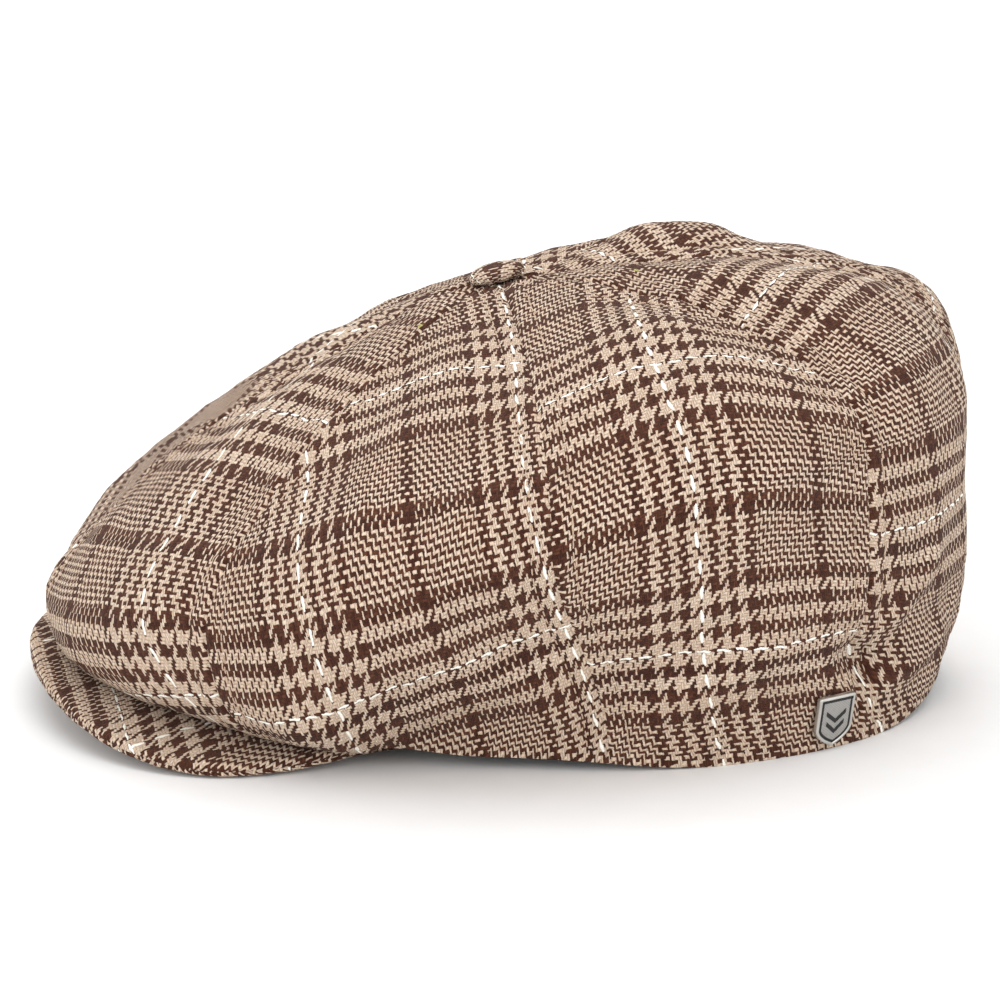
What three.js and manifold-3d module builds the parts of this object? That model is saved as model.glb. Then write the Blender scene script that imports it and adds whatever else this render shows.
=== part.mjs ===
// Newsboy cap: eight wool gores, a covered button, a stiff peak, a lining and a sweatband.
// Millimetres, +Z up. The front of the cap faces -Y and the wearer's left is +X.
// Everything is drawn around the centre of the head opening and moved at the end, so that the
// origin is the bottom centre of the whole cap.
import * as THREE from 'three';
import { mergeVertices } from 'three/addons/utils/BufferGeometryUtils.js';
import Module from 'manifold-3d';

const wasm = await Module();
wasm.setup();

// ---- Driving dimensions ----
const rimHalfWidth = 87; // head opening at the rim, ear to ear
const rimHalfLength = 103; // head opening at the rim, forehead to nape
const crownHalfWidth = 120; // widest line of the crown
const crownHalfLength = 137;
const crownCentreY = -26; // the crown is pulled forward over the peak
const apexY = -28; // where the eight gores meet
const apexZ = 125;
const goreCount = 8;
const goreAngle = (2 * Math.PI) / goreCount;
const gorePuff = 2.4; // how far a gore bulges between its seams
const shellThickness = 1.5;
const liningDepth = 3.4; // from the outside of the shell to the outside of the lining
const liningThickness = 0.6;
const seamGap = 0.3; // between neighbouring pieces

const peakHalfWidth = 91.5;
const peakCentreY = -109; // the peak's outline is widest here
const peakReach = 60; // from that line forward to the tip
const peakReturn = 80.5; // from that line back towards the corners
const peakArch = 12.5; // the middle of the peak stands this much higher than its sides
const peakThickness = 4;
const coverThickness = 0.9;
const peakCornerHeading = THREE.MathUtils.degToRad(60);
const peakRimGap = 0.6; // between the peak's inner edge and the rim
const crownLift = 0.9; // between the peak's top and the crown that lies on it

const bandHeight = 30;
const bandThickness = 1.2;
const bandGap = 1.2; // between the rim and the sweatband
const tapeHeight = 8;
const tapeThickness = 0.8;
const tapeGap = 0.4; // between the turned-under edge and the tape

const buttonRadius = 8.5;
const buttonHeight = 4.4; // top of the button above the apex
const buttonTilt = THREE.MathUtils.degToRad(13); // the crown's top leans forward

const badgeWidth = 13.5;
const badgeHeight = 16;
const badgeThickness = 1.7;
const badgeHeading = THREE.MathUtils.degToRad(128);
const badgeTravel = 0.819;

// ---- Small helpers ----
const degrees = THREE.MathUtils.degToRad;
const mix = THREE.MathUtils.lerp;

function ease(value) {
  return THREE.MathUtils.smoothstep(value, 0, 1);
}

function bezier(a, b, c, d, t) {
  const s = 1 - t;
  return s * s * s * a + 3 * s * s * t * b + 3 * s * t * t * c + t * t * t * d;
}

// Distance from straight ahead in degrees, 0 at the forehead and 180 at the nape.
function turnFromFront(heading) {
  return THREE.MathUtils.radToDeg(Math.acos(THREE.MathUtils.clamp(Math.cos(heading), -1, 1)));
}

// ---- The peak's surface ----
function peakUnderZ(x) {
  return peakArch * (1 - (x / peakHalfWidth) ** 2);
}

function peakTopZ(x) {
  return peakUnderZ(x) + peakThickness;
}

const peakMargin = 1.06; // the crown clears a little more than the peak itself

function isOverPeak(x, y) {
  const reach = y < peakCentreY ? peakReach : peakReturn;
  return (x / peakHalfWidth) ** 2 + ((y - peakCentreY) / reach) ** 2 < peakMargin;
}

// ---- The crown's surface ----
// A gore runs from the apex (travel 0) over the widest line (shoulderTravel) to the fold at its
// foot (foldTravel), and is turned under to the rim (travel 1).
const shoulderTravel = 0.56;
const foldTravel = 0.86;
const turnedHem = 3; // width of the fold that is turned under at the sides and back
const wallHeight = 26; // the cloth stands upright above the rim before it billows out
const lyingHalfWidth = 93; // outline of the front fold, where the crown lies on the peak
const lyingReach = 121;
const lyingCentreY = -39;
const lyingSpread = 1.35; // headings fan out to the sides of this outline
const lyingSpreadLimit = 75; // and stop here, in degrees
const lyingPinch = 0.05; // this outline is drawn in a little half way round
const frontRimRise = 4; // the rim rests on the ground behind the ears and rises from there
const napeRimRise = 8;

// 1 over the peak, 0 past its corners.
function shareOverPeak(heading) {
  return ease((75 - turnFromFront(heading)) / 12);
}

// 1 where the crown lies on the peak, 0 at the sides and back.
function shareLying(heading) {
  return ease((88 - turnFromFront(heading)) / 38);
}

function rimHeight(heading) {
  const turn = turnFromFront(heading);
  const rise = frontRimRise * ease((108 - turn) / 30) + napeRimRise * ease((turn - 138) / 42);
  const onPeak = peakTopZ(rimHalfWidth * Math.sin(heading)) + crownLift;
  return mix(rise, onPeak, shareOverPeak(heading));
}

function rimPoint(heading) {
  const x = rimHalfWidth * Math.sin(heading);
  return new THREE.Vector3(x, -rimHalfLength * Math.cos(heading), rimHeight(heading));
}

const seamDrift = [0.07, 0.017, 0.013]; // the side seams lean back as they come down
const wideHeight = 67.5; // the widest line's height at the sides, without its sag
const wideTilt = 32; // how much lower it runs at the front, and higher at the back
const wideSag = 7; // how much lower it runs at both than at the sides

function widestPoint(heading) {
  const drift = seamDrift.reduce((sum, size, i) => sum + size * Math.sin((i + 1) * heading), heading);
  const height = wideHeight - wideTilt * Math.cos(heading) - wideSag * Math.cos(2 * heading);
  const x = crownHalfWidth * Math.sin(drift);
  return new THREE.Vector3(x, crownCentreY - crownHalfLength * Math.cos(drift), height);
}

function foldPoint(heading) {
  const lying = shareLying(heading);
  const spread = degrees(Math.min(lyingSpread * turnFromFront(heading), lyingSpreadLimit));
  const size = 1 - lyingPinch * Math.sin(2 * spread) ** 2;
  const side = Math.sign(Math.sin(heading));
  const rim = rimPoint(heading);
  const lyingX = side * lyingHalfWidth * size * Math.sin(spread);
  const lyingY = lyingCentreY - lyingReach * size * Math.cos(spread);
  const x = mix(rim.x + turnedHem * Math.sin(heading), lyingX, lying);
  const y = mix(rim.y - turnedHem * Math.cos(heading), lyingY, lying);
  return new THREE.Vector3(x, y, mix(rim.z, peakTopZ(x) + crownLift, lying));
}

const domeReach = 0.3; // how far out the dome runs level from the apex
const domeReachTilt = 0.09; // further at the front, less at the back
const apexSlope = 10; // the dome starts downhill at the front and uphill at the back
const shoulderHeight = 35; // how upright the dome meets the widest line
const shoulderTilt = 16; // less at the front, more at the back
const wallTuck = 0.25; // how far the wall hangs straight down from the widest line
const wallTuckBack = 0.55; // more of it at the back
const wallTuckLying = 0.72; // and where it lies on the peak
const levelEntry = 0.35; // over the peak the cloth comes in level, elsewhere upright
const puffCentreZ = 50; // gores bulge away from a point at this height

function crownPoint(heading, travel) {
  const forward = Math.cos(heading);
  const wide = widestPoint(heading);
  const fold = foldPoint(heading);
  const rim = rimPoint(heading);
  const point = new THREE.Vector3();
  if (travel < shoulderTravel) {
    const t = travel / shoulderTravel;
    const reach = domeReach + domeReachTilt * forward;
    const rise = -apexSlope * forward;
    const shoulder = shoulderHeight - shoulderTilt * forward;
    point.x = bezier(0, wide.x * reach, wide.x, wide.x, t);
    point.y = bezier(apexY, mix(apexY, wide.y, reach), wide.y, wide.y, t);
    point.z = bezier(apexZ, apexZ + rise, wide.z + shoulder, wide.z, t);
  } else if (travel < foldTravel) {
    const t = (travel - shoulderTravel) / (foldTravel - shoulderTravel);
    const lying = shareLying(heading);
    const tuck = mix(wallTuck + wallTuckBack * Math.max(-forward, 0), wallTuckLying, lying);
    const drop = (wide.z - fold.z) * tuck;
    const spread = levelEntry * lying;
    const upright = wallHeight * (1 - lying);
    point.x = bezier(wide.x, wide.x, mix(fold.x, wide.x, spread), fold.x, t);
    point.y = bezier(wide.y, wide.y, mix(fold.y, wide.y, spread), fold.y, t);
    point.z = bezier(wide.z, wide.z - drop, fold.z + upright, fold.z, t);
  } else {
    const t = (travel - foldTravel) / (1 - foldTravel);
    point.lerpVectors(fold, rim, t);
  }
  const puffed = Math.sin(Math.PI * Math.min(travel / foldTravel, 1));
  const puff = gorePuff * 0.5 * (1 - Math.cos(goreCount * heading)) * puffed;
  const outward = new THREE.Vector3(point.x, point.y - crownCentreY, point.z - puffCentreZ).normalize();
  point.addScaledVector(outward, puff);
  if (isOverPeak(point.x, point.y)) point.z = Math.max(point.z, peakTopZ(point.x) + crownLift);
  return point;
}

const probe = 0.004; // step for slopes of the crown, in radians and in travel

function crownAcross(heading, travel) {
  return crownPoint(heading + probe, travel).sub(crownPoint(heading - probe, travel)).divideScalar(2 * probe);
}

function crownNormal(heading, travel) {
  const low = Math.max(travel - probe, 0);
  const high = Math.min(travel + probe, 1);
  const down = crownPoint(heading, high).sub(crownPoint(heading, low));
  return down.cross(crownAcross(heading, travel)).normalize();
}

// A point at a depth inside the crown's outer surface.
function crownLayer(heading, travel, depth) {
  return crownPoint(heading, travel).addScaledVector(crownNormal(heading, travel), -depth);
}

// ---- Solids from grids of points ----
function closedGeometry(points, triangles) {
  let volume = 0;
  for (const [a, b, c] of triangles) {
    volume += points[a].dot(new THREE.Vector3().crossVectors(points[b], points[c]));
  }
  const index = volume > 0 ? triangles.flat() : triangles.map(([a, b, c]) => [a, c, b]).flat();
  const geometry = new THREE.BufferGeometry();
  geometry.setAttribute('position', new THREE.Float32BufferAttribute(points.flatMap((p) => p.toArray()), 3));
  geometry.setIndex(index);
  geometry.computeVertexNormals();
  return geometry;
}

// Rings of points joined one to the next. A closed sweep joins the last ring to the first, and
// an open one is capped at both ends.
function sweptGeometry(rings, isLoop) {
  const size = rings[0].length;
  const points = rings.flat();
  const triangles = [];
  const spans = isLoop ? rings.length : rings.length - 1;
  for (let i = 0; i < spans; i += 1) {
    const here = i * size;
    const next = ((i + 1) % rings.length) * size;
    for (let j = 0; j < size; j += 1) {
      const k = (j + 1) % size;
      triangles.push([here + j, next + j, next + k], [here + j, next + k, here + k]);
    }
  }
  if (!isLoop) {
    const last = (rings.length - 1) * size;
    const half = size / 2;
    for (let j = 0; j < half - 1; j += 1) {
      const far = size - 1 - j;
      triangles.push([j, j + 1, far - 1], [j, far - 1, far]);
      triangles.push([last + j, last + far - 1, last + j + 1], [last + j, last + far, last + far - 1]);
    }
  }
  return closedGeometry(points, triangles);
}

// A sheet between two surfaces: front(u, v) and back(u, v) for u and v from 0 to 1. Each ring is
// one column of the front going down and the same column of the back coming up.
function sheetGeometry(front, back, columns, rows) {
  const rings = [];
  for (let i = 0; i <= columns; i += 1) {
    const ring = [];
    for (let j = 0; j <= rows; j += 1) ring.push(front(i / columns, j / rows));
    for (let j = rows; j >= 0; j -= 1) ring.push(back(i / columns, j / rows));
    rings.push(ring);
  }
  return sweptGeometry(rings, false);
}

function solidOf(geometry) {
  const bare = geometry.clone();
  bare.deleteAttribute('normal');
  bare.deleteAttribute('uv');
  const merged = mergeVertices(bare);
  const vertProperties = new Float32Array(merged.attributes.position.array);
  const triVerts = new Uint32Array(merged.index.array);
  return new wasm.Manifold(new wasm.Mesh({ numProp: 3, vertProperties, triVerts }));
}

function geometryOf(solid) {
  const mesh = solid.getMesh();
  const geometry = new THREE.BufferGeometry();
  geometry.setAttribute('position', new THREE.BufferAttribute(mesh.vertProperties, 3));
  geometry.setIndex(new THREE.BufferAttribute(mesh.triVerts, 1));
  geometry.computeVertexNormals();
  return geometry;
}

// ---- Materials ----
const paint = (color, roughness, metalness = 0) => ({ color, roughness, metalness });
const tweed = paint(0xa98a74, 0.95);
const satin = paint(0x2f2a2b, 0.5);
const cotton = paint(0x3a3c42, 0.9);
const board = paint(0x8d7a5c, 0.8);
const pewter = paint(0x8f8e8a, 0.35, 0.9);
const darkInlay = paint(0x2a2826, 0.5, 0.6);
const tinplate = paint(0xb8b8b4, 0.4, 0.9);
const thread = paint(0x5a4238, 0.9);
const woven = paint(0xd8d2c4, 0.9);

const cap = new THREE.Group();

function add(name, geometry, look, parent = cap) {
  const mesh = new THREE.Mesh(geometry, new THREE.MeshStandardMaterial(look));
  mesh.name = name;
  parent.add(mesh);
  return mesh;
}

// ---- Crown gores and their lining ----
const goreNames = ['front', 'side_front', 'side_rear', 'rear'];
const apexTravel = 0.014; // the gores stop at a small hole for the button's thread
const liningEndTravel = 0.72;

// One gore of a layer between two depths, with its sides drawn in by half a seam gap.
function goreGeometry(number, outerDepth, innerDepth, endTravel, columns, rows) {
  const layer = (depth) => (u, v) => {
    const travel = mix(apexTravel, endTravel, v);
    const middle = (number + 0.5) * goreAngle;
    const trim = seamGap / 2 / crownAcross(middle, travel).length();
    const heading = mix(number * goreAngle + trim, (number + 1) * goreAngle - trim, u);
    return crownLayer(heading, travel, depth);
  };
  return sheetGeometry(layer(outerDepth), layer(innerDepth), columns, rows);
}

function goreName(number) {
  const isLeft = number < goreCount / 2;
  const place = isLeft ? number : goreCount - 1 - number;
  return `${goreNames[place]}_${isLeft ? 'left' : 'right'}`;
}

// The badge's frame: x along the rim, y up the gore, z out of the cloth.
function badgeFrame() {
  const outward = crownNormal(badgeHeading, badgeTravel);
  const along = crownAcross(badgeHeading, badgeTravel).normalize();
  const up = new THREE.Vector3().crossVectors(outward, along);
  const frame = new THREE.Matrix4().makeBasis(along, up, outward);
  return frame.setPosition(crownPoint(badgeHeading, badgeTravel));
}

const prongSpacing = 7;
const prongRadius = 0.6;
const prongHoleRadius = 1;
const badgeBack = 1; // the flat badge stands off the curved cloth
const prongEnd = -2.4; // through the gore and the washer behind it

function prongGeometry(side, radius, from, to) {
  const prong = new THREE.CylinderGeometry(radius, radius, to - from, 10);
  prong.rotateX(Math.PI / 2);
  prong.translate((side * prongSpacing) / 2, 0, (from + to) / 2);
  return prong;
}

function pierced(geometry) {
  let solid = solidOf(geometry);
  for (const side of [-1, 1]) {
    const hole = prongGeometry(side, prongHoleRadius, prongEnd - 1, badgeBack).applyMatrix4(badgeFrame());
    solid = solid.subtract(solidOf(hole));
  }
  return geometryOf(solid);
}

function addGores() {
  const badgeGore = Math.floor(badgeHeading / goreAngle);
  for (let number = 0; number < goreCount; number += 1) {
    const gore = goreGeometry(number, 0, shellThickness, 1, 7, 20);
    add(`crown_panel_${goreName(number)}`, number === badgeGore ? pierced(gore) : gore, tweed);
    const inside = liningDepth + liningThickness;
    const lining = goreGeometry(number, liningDepth, inside, liningEndTravel, 5, 11);
    add(`lining_panel_${goreName(number)}`, lining, satin);
  }
}

// A blank maker's patch on the lining, behind the apex.
function addCrownLabel() {
  const depth = liningDepth + liningThickness + 2 * seamGap;
  const layer = (extra) => (u, v) => {
    const heading = mix(degrees(162), degrees(198), u);
    return crownLayer(heading, mix(0.16, 0.26, v), depth + extra);
  };
  add('crown_label', sheetGeometry(layer(0), layer(0.4), 6, 3), woven);
}

// ---- Rim: stiffening tape, sweatband and its two blank tabs ----
function rimOffset(heading, offset, z) {
  const x = (rimHalfWidth + offset) * Math.sin(heading);
  return new THREE.Vector3(x, -(rimHalfLength + offset) * Math.cos(heading), z);
}

const bandDrop = 1.5; // the sweatband shows this much below the rim
const bandDropOverPeak = 2.6; // and more over the peak, whose edge it covers

function bandBottom(heading) {
  return Math.max(rimHeight(heading) - bandDrop - bandDropOverPeak * shareOverPeak(heading), seamGap);
}

// A band that follows the rim, with an upright rectangular section.
function rimBandGeometry(innerOffset, outerOffset, bottom, height, steps) {
  const rings = [];
  for (let i = 0; i < steps; i += 1) {
    const heading = (i / steps) * 2 * Math.PI;
    const low = bottom(heading);
    rings.push([
      rimOffset(heading, outerOffset, low),
      rimOffset(heading, outerOffset, low + height),
      rimOffset(heading, innerOffset, low + height),
      rimOffset(heading, innerOffset, low),
    ]);
  }
  return sweptGeometry(rings, true);
}

function addRimBands() {
  const steps = 72;
  const tapeBottom = (heading) => rimHeight(heading) + shellThickness + tapeGap;
  const tape = rimBandGeometry(tapeGap, tapeGap + tapeThickness, tapeBottom, tapeHeight, steps);
  add('rim_tape', tape, cotton);
  const inner = -bandGap - bandThickness;
  add('sweatband', rimBandGeometry(inner, -bandGap, bandBottom, bandHeight, steps), cotton);
}

// A flat blank tab that hangs inside the sweatband at a heading.
function addTab(name, heading, width, height, topDrop) {
  const thickness = 0.4;
  const bow = width ** 2 / (8 * rimHalfWidth); // how far the band curves over the tab's width
  const centreZ = bandBottom(heading) + bandHeight - topDrop - height / 2;
  const offset = -bandGap - bandThickness - seamGap - bow - thickness / 2;
  const tab = add(name, new THREE.BoxGeometry(width, thickness, height), woven);
  const slope = Math.atan2(rimHalfLength * Math.sin(heading), rimHalfWidth * Math.cos(heading));
  tab.position.copy(rimOffset(heading, offset, centreZ));
  tab.rotation.z = slope;
}

// ---- Peak ----
// The peak is drawn from its inner edge along the rim (v = 0) to its outer edge (v = 1), and
// from the right corner (u = 0) to the left one (u = 1).
const cornerWidth = 4; // the peak ends in a short straight edge beside the rim

function peakPlan(u, v, inset) {
  const side = 2 * u - 1;
  const rimHeading = side * peakCornerHeading;
  const root = rimOffset(rimHeading, peakRimGap, 0);
  const cornerX = (rimHalfWidth + peakRimGap) * Math.sin(peakCornerHeading) + cornerWidth;
  const quarter = Math.PI / 2;
  const cornerTurn = quarter + Math.acos(cornerX / peakHalfWidth);
  const turn = side * cornerTurn;
  const reach = Math.abs(turn) < quarter ? peakReach : peakReturn;
  const edgeX = (peakHalfWidth - inset) * Math.sin(turn);
  const edgeY = peakCentreY - (reach - inset) * Math.cos(turn);
  return new THREE.Vector2(mix(root.x, edgeX, v), mix(root.y, edgeY, v));
}

function peakLayer(height, inset) {
  return (u, v) => {
    const plan = peakPlan(u, v, inset);
    return new THREE.Vector3(plan.x, plan.y, peakUnderZ(plan.x) + height);
  };
}

function peakPlate(bottom, top, inset, columns, rows) {
  return sheetGeometry(peakLayer(top, inset), peakLayer(bottom, inset), columns, rows);
}

function addPeak() {
  const columns = 30;
  const rows = 4;
  const boardInset = 1.6;
  const coverTop = peakThickness - coverThickness;
  add('peak_under_cover', peakPlate(0, coverThickness, 0, columns, rows), tweed);
  const boardBottom = coverThickness + seamGap;
  add('peak_board', peakPlate(boardBottom, coverTop - seamGap, boardInset, columns, rows), board);
  add('peak_top_cover', peakPlate(coverTop, peakThickness, 0, columns, rows), tweed);
}

// ---- Button ----
const buttonSides = 28;

// A dome's outline from its edge up to the axis.
function domeOutline(radius, height, base, steps) {
  const outline = [];
  for (let i = 0; i <= steps; i += 1) {
    const turn = (i / steps) * (Math.PI / 2);
    outline.push(new THREE.Vector2(radius * Math.cos(turn), base + height * Math.sin(turn)));
  }
  outline[steps].x = 0;
  return outline;
}

function domeShell(radius, height, base, thickness, lip) {
  const outside = domeOutline(radius, height, base, 6);
  const inside = domeOutline(radius - thickness, height - thickness, base, 6).reverse();
  const turnedIn = [new THREE.Vector2(lip, base), new THREE.Vector2(lip, base - thickness)];
  const foot = new THREE.Vector2(radius - thickness / 2, base - thickness);
  const profile = lip ? [...inside, ...turnedIn, foot, ...outside] : [...inside, ...outside];
  return new THREE.LatheGeometry(profile, buttonSides).rotateX(Math.PI / 2);
}

function addButton() {
  const button = new THREE.Group();
  button.position.set(0, apexY, apexZ);
  button.rotation.x = buttonTilt;
  cap.add(button);
  const clothThickness = 0.9;
  const base = 1.4; // height of the button's edge above the apex
  const shellRadius = buttonRadius - clothThickness - seamGap;
  const shellHeight = buttonHeight - base - clothThickness - 2 * seamGap;
  const cover = domeShell(buttonRadius, buttonHeight - base, base, clothThickness, buttonRadius - 2.5);
  add('button_cover', cover, tweed, button);
  add('button_shell', domeShell(shellRadius, shellHeight, base + seamGap, 0.5, 0), tinplate, button);
  const back = new THREE.CylinderGeometry(5.4, 5.4, 0.7, buttonSides);
  back.rotateX(Math.PI / 2);
  back.translate(0, 0, base);
  add('button_back', back, tinplate, button);
  const threadTop = base - 0.35 - seamGap;
  const threadBottom = -liningDepth - liningThickness - 2;
  const shank = new THREE.CylinderGeometry(1.1, 1.1, threadTop - threadBottom, 12);
  shank.rotateX(Math.PI / 2);
  shank.translate(0, 0, (threadTop + threadBottom) / 2);
  const knot = new THREE.SphereGeometry(2.2, 12, 8);
  knot.translate(0, 0, threadBottom);
  add('button_thread', geometryOf(solidOf(shank).add(solidOf(knot))), thread, button);
}

// ---- Badge: a plain metal shield with a chevron inlay, clipped through one gore ----
function shieldShape(width, height) {
  const half = width / 2;
  const top = height / 2;
  const shoulder = -height * 0.16; // where the straight sides end
  const shape = new THREE.Shape();
  shape.moveTo(-half, top);
  shape.lineTo(-half, shoulder);
  shape.quadraticCurveTo(-half * 0.85, -top * 0.72, 0, -top);
  shape.quadraticCurveTo(half * 0.85, -top * 0.72, half, shoulder);
  shape.lineTo(half, top);
  shape.closePath();
  return shape;
}

function shieldPlate(width, height, from, to) {
  const shape = shieldShape(width, height);
  const plate = new THREE.ExtrudeGeometry(shape, { depth: to - from, bevelEnabled: false, curveSegments: 6 });
  plate.translate(0, 0, from);
  return plate;
}

function addBadge() {
  const frame = badgeFrame();
  const front = badgeBack + badgeThickness;
  const rim = 1.1;
  const recess = 0.6;
  const inlayWidth = badgeWidth - 2 * rim;
  const inlayHeight = badgeHeight - 2 * rim;
  let shield = solidOf(shieldPlate(badgeWidth, badgeHeight, badgeBack, front));
  shield = shield.subtract(solidOf(shieldPlate(inlayWidth, inlayHeight, front - recess, front + 1)));
  for (const side of [-1, 1]) {
    shield = shield.add(solidOf(prongGeometry(side, prongRadius, prongEnd, badgeBack + 0.2)));
  }
  const shieldMesh = add('badge_shield', geometryOf(shield), pewter);
  const inlayFit = 0.6;
  const inlayBase = front - recess + 0.12;
  const inlay = shieldPlate(inlayWidth - inlayFit, inlayHeight - inlayFit, inlayBase, front - 0.2);
  const inlayMesh = add('badge_inlay', inlay, darkInlay);
  const washer = new THREE.CylinderGeometry(5.6, 5.6, 0.4, 24);
  washer.rotateX(Math.PI / 2);
  washer.scale(1, 0.4, 1);
  const washerCentre = -shellThickness - 0.45;
  washer.translate(0, 0, washerCentre);
  let washerSolid = solidOf(washer);
  for (const side of [-1, 1]) {
    const hole = prongGeometry(side, prongHoleRadius, prongEnd, 0);
    washerSolid = washerSolid.subtract(solidOf(hole));
  }
  const washerMesh = add('badge_washer', geometryOf(washerSolid), tinplate);
  for (const mesh of [shieldMesh, inlayMesh, washerMesh]) mesh.applyMatrix4(frame);
}

addGores();
addCrownLabel();
addRimBands();
addTab('size_label', degrees(180), 14, 9, 6);
addTab('care_label', degrees(240), 18, 14, 4);
addPeak();
addButton();
addBadge();

// Stand the cap on the origin: bottom centre of its box.
const box = new THREE.Box3().setFromObject(cap, true);
const centre = box.getCenter(new THREE.Vector3());
cap.position.set(-centre.x, -centre.y, -box.min.z);

export default cap;
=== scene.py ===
import math
from functools import partialmethod
from typing import NamedTuple

import bpy
import numpy as np
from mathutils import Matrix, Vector


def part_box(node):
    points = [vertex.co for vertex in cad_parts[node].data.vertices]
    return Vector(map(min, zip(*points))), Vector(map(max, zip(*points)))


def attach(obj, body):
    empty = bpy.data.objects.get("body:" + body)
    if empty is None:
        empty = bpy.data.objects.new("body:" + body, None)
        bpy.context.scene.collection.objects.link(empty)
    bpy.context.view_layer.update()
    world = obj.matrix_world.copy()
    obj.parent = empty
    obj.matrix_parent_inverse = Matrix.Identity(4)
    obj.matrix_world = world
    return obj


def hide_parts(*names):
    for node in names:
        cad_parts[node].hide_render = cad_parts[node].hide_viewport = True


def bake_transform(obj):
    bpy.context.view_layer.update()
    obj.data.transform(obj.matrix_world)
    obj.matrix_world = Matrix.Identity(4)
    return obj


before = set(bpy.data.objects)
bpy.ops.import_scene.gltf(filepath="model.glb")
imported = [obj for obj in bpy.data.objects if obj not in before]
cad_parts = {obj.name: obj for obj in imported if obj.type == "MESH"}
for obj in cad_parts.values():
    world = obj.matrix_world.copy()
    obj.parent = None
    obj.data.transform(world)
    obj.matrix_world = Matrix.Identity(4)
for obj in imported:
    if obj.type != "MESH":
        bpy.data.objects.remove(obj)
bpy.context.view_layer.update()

MM = 0.001
FRONT_TO_REAR = ("front", "side_front", "side_rear", "rear")

# ---- The cap's sizes, in millimetres ----
RIM_HALF_WIDTH = 87.0
RIM_HALF_LENGTH = 103.0
CROWN_HALF_WIDTH = 120.0
CROWN_HALF_LENGTH = 137.0
CROWN_CENTRE_Y = -26.0
APEX_Y = -28.0
APEX_Z = 125.0
GORES = 8
GORE_ANGLE = 2 * math.pi / GORES
GORE_PUFF = 2.4
SHELL_THICKNESS = 1.5
LINING_DEPTH = 3.4
LINING_THICKNESS = 0.6
LINING_END = 0.72
APEX_TRAVEL = 0.014
SHOULDER_TRAVEL = 0.56
FOLD_TRAVEL = 0.86
TURNED_HEM = 3.0
WALL_HEIGHT = 26.0
LYING_HALF_WIDTH = 93.0
LYING_REACH = 121.0
LYING_CENTRE_Y = -39.0
LYING_SPREAD = 1.35
LYING_SPREAD_LIMIT = 75.0
LYING_PINCH = 0.05
CROWN_LIFT = 0.9
FRONT_RIM_RISE = 4  # the rim rests on the ground behind the ears and rises from there
NAPE_RIM_RISE = 8
SEAM_DRIFT = (0.07, 0.017, 0.013)  # the side seams lean back as they come down
WIDE_HEIGHT = 67.5  # the widest line's height at the sides, without its sag
WIDE_TILT = 32  # how much lower it runs at the front, and higher at the back
WIDE_SAG = 7  # how much lower it runs at both than at the sides
DOME_REACH = 0.3  # how far out the dome runs level from the apex
DOME_REACH_TILT = 0.09  # further at the front, less at the back
APEX_SLOPE = 10  # the dome starts downhill at the front and uphill at the back
SHOULDER_HEIGHT = 35  # how upright the dome meets the widest line
SHOULDER_TILT = 16  # less at the front, more at the back
WALL_TUCK = 0.25  # how far the wall hangs straight down from the widest line
WALL_TUCK_BACK = 0.55  # more of it at the back
WALL_TUCK_LYING = 0.72  # and where it lies on the peak
LEVEL_ENTRY = 0.35  # over the peak the cloth comes in level, elsewhere upright
PUFF_CENTRE_Z = 50.0  # gores bulge away from a point at this height
GROUND_GAP = 0.05  # the cloth stays this far above the ground

PEAK_HALF_WIDTH = 91.5
PEAK_CENTRE_Y = -109.0
PEAK_REACH = 60.0
PEAK_RETURN = 80.5
PEAK_ARCH = 12.5
PEAK_THICKNESS = 4.0
PEAK_COVER = 0.9
PEAK_CORNER = math.radians(60)
PEAK_RIM_GAP = 0.6
PEAK_CORNER_WIDTH = 4.0
PEAK_MARGIN = 1.06

BAND_HEIGHT = 30.0
BAND_THICKNESS = 1.2
BAND_GAP = 1.2
TAPE_HEIGHT = 8.0
TAPE_THICKNESS = 0.8
TAPE_GAP = 0.4

BUTTON_RADIUS = 8.5
BUTTON_TOP = 4.4
BUTTON_BASE = 1.4
BUTTON_TILT = math.radians(13)

BADGE_WIDTH = 13.5
BADGE_HEIGHT = 16.0
BADGE_THICKNESS = 1.7
BADGE_HEADING = math.radians(128)
BADGE_TRAVEL = 0.819
BADGE_BACK = 1.0

STITCH_FROM_SEAM = 6.0

band_low, band_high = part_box("sweatband")
OPENING = np.array([(band_low.x + band_high.x) / 2, (band_low.y + band_high.y) / 2, 0.0]) / MM


def to_frame(points):
    """Millimetres around the opening to metres in the frame."""
    return (np.asarray(points, float) + OPENING) * MM


# ---- Small maths ----
def mix(a, b, share):
    return a + (b - a) * share


def ease(value):
    value = np.clip(value, 0, 1)
    return value * value * (3 - 2 * value)


def bezier(a, b, c, d, t):
    s = 1 - t
    return s**3 * a + 3 * s * s * t * b + 3 * s * t * t * c + t**3 * d


def bell(distance, width):
    return np.exp(-((distance / width) ** 2))


def unit(vectors):
    return vectors / (np.linalg.norm(vectors, axis=-1, keepdims=True) + 1e-12)


def turn_from_front(heading):
    """Degrees from straight ahead, to either side."""
    return np.degrees(np.arccos(np.clip(np.cos(heading), -1, 1)))


def ripple(points, wavelength, seed, waves=14):
    """Smooth noise of about -1 to 1: sine waves in random directions."""
    rng = np.random.default_rng(seed)
    directions = unit(rng.normal(size=(waves, 3)))
    lengths = wavelength * rng.uniform(0.7, 1.5, waves)
    phases = rng.uniform(0, 2 * math.pi, waves)
    total = 0
    for direction, length, phase in zip(directions, lengths, phases):
        total = total + np.sin(points @ direction * (2 * math.pi / length) + phase)
    return total / math.sqrt(1.5 * waves)


# ---- The peak's and the crown's surfaces ----
def peak_under_z(x):
    return PEAK_ARCH * (1 - (x / PEAK_HALF_WIDTH) ** 2)


def peak_top_z(x):
    return peak_under_z(x) + PEAK_THICKNESS


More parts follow.
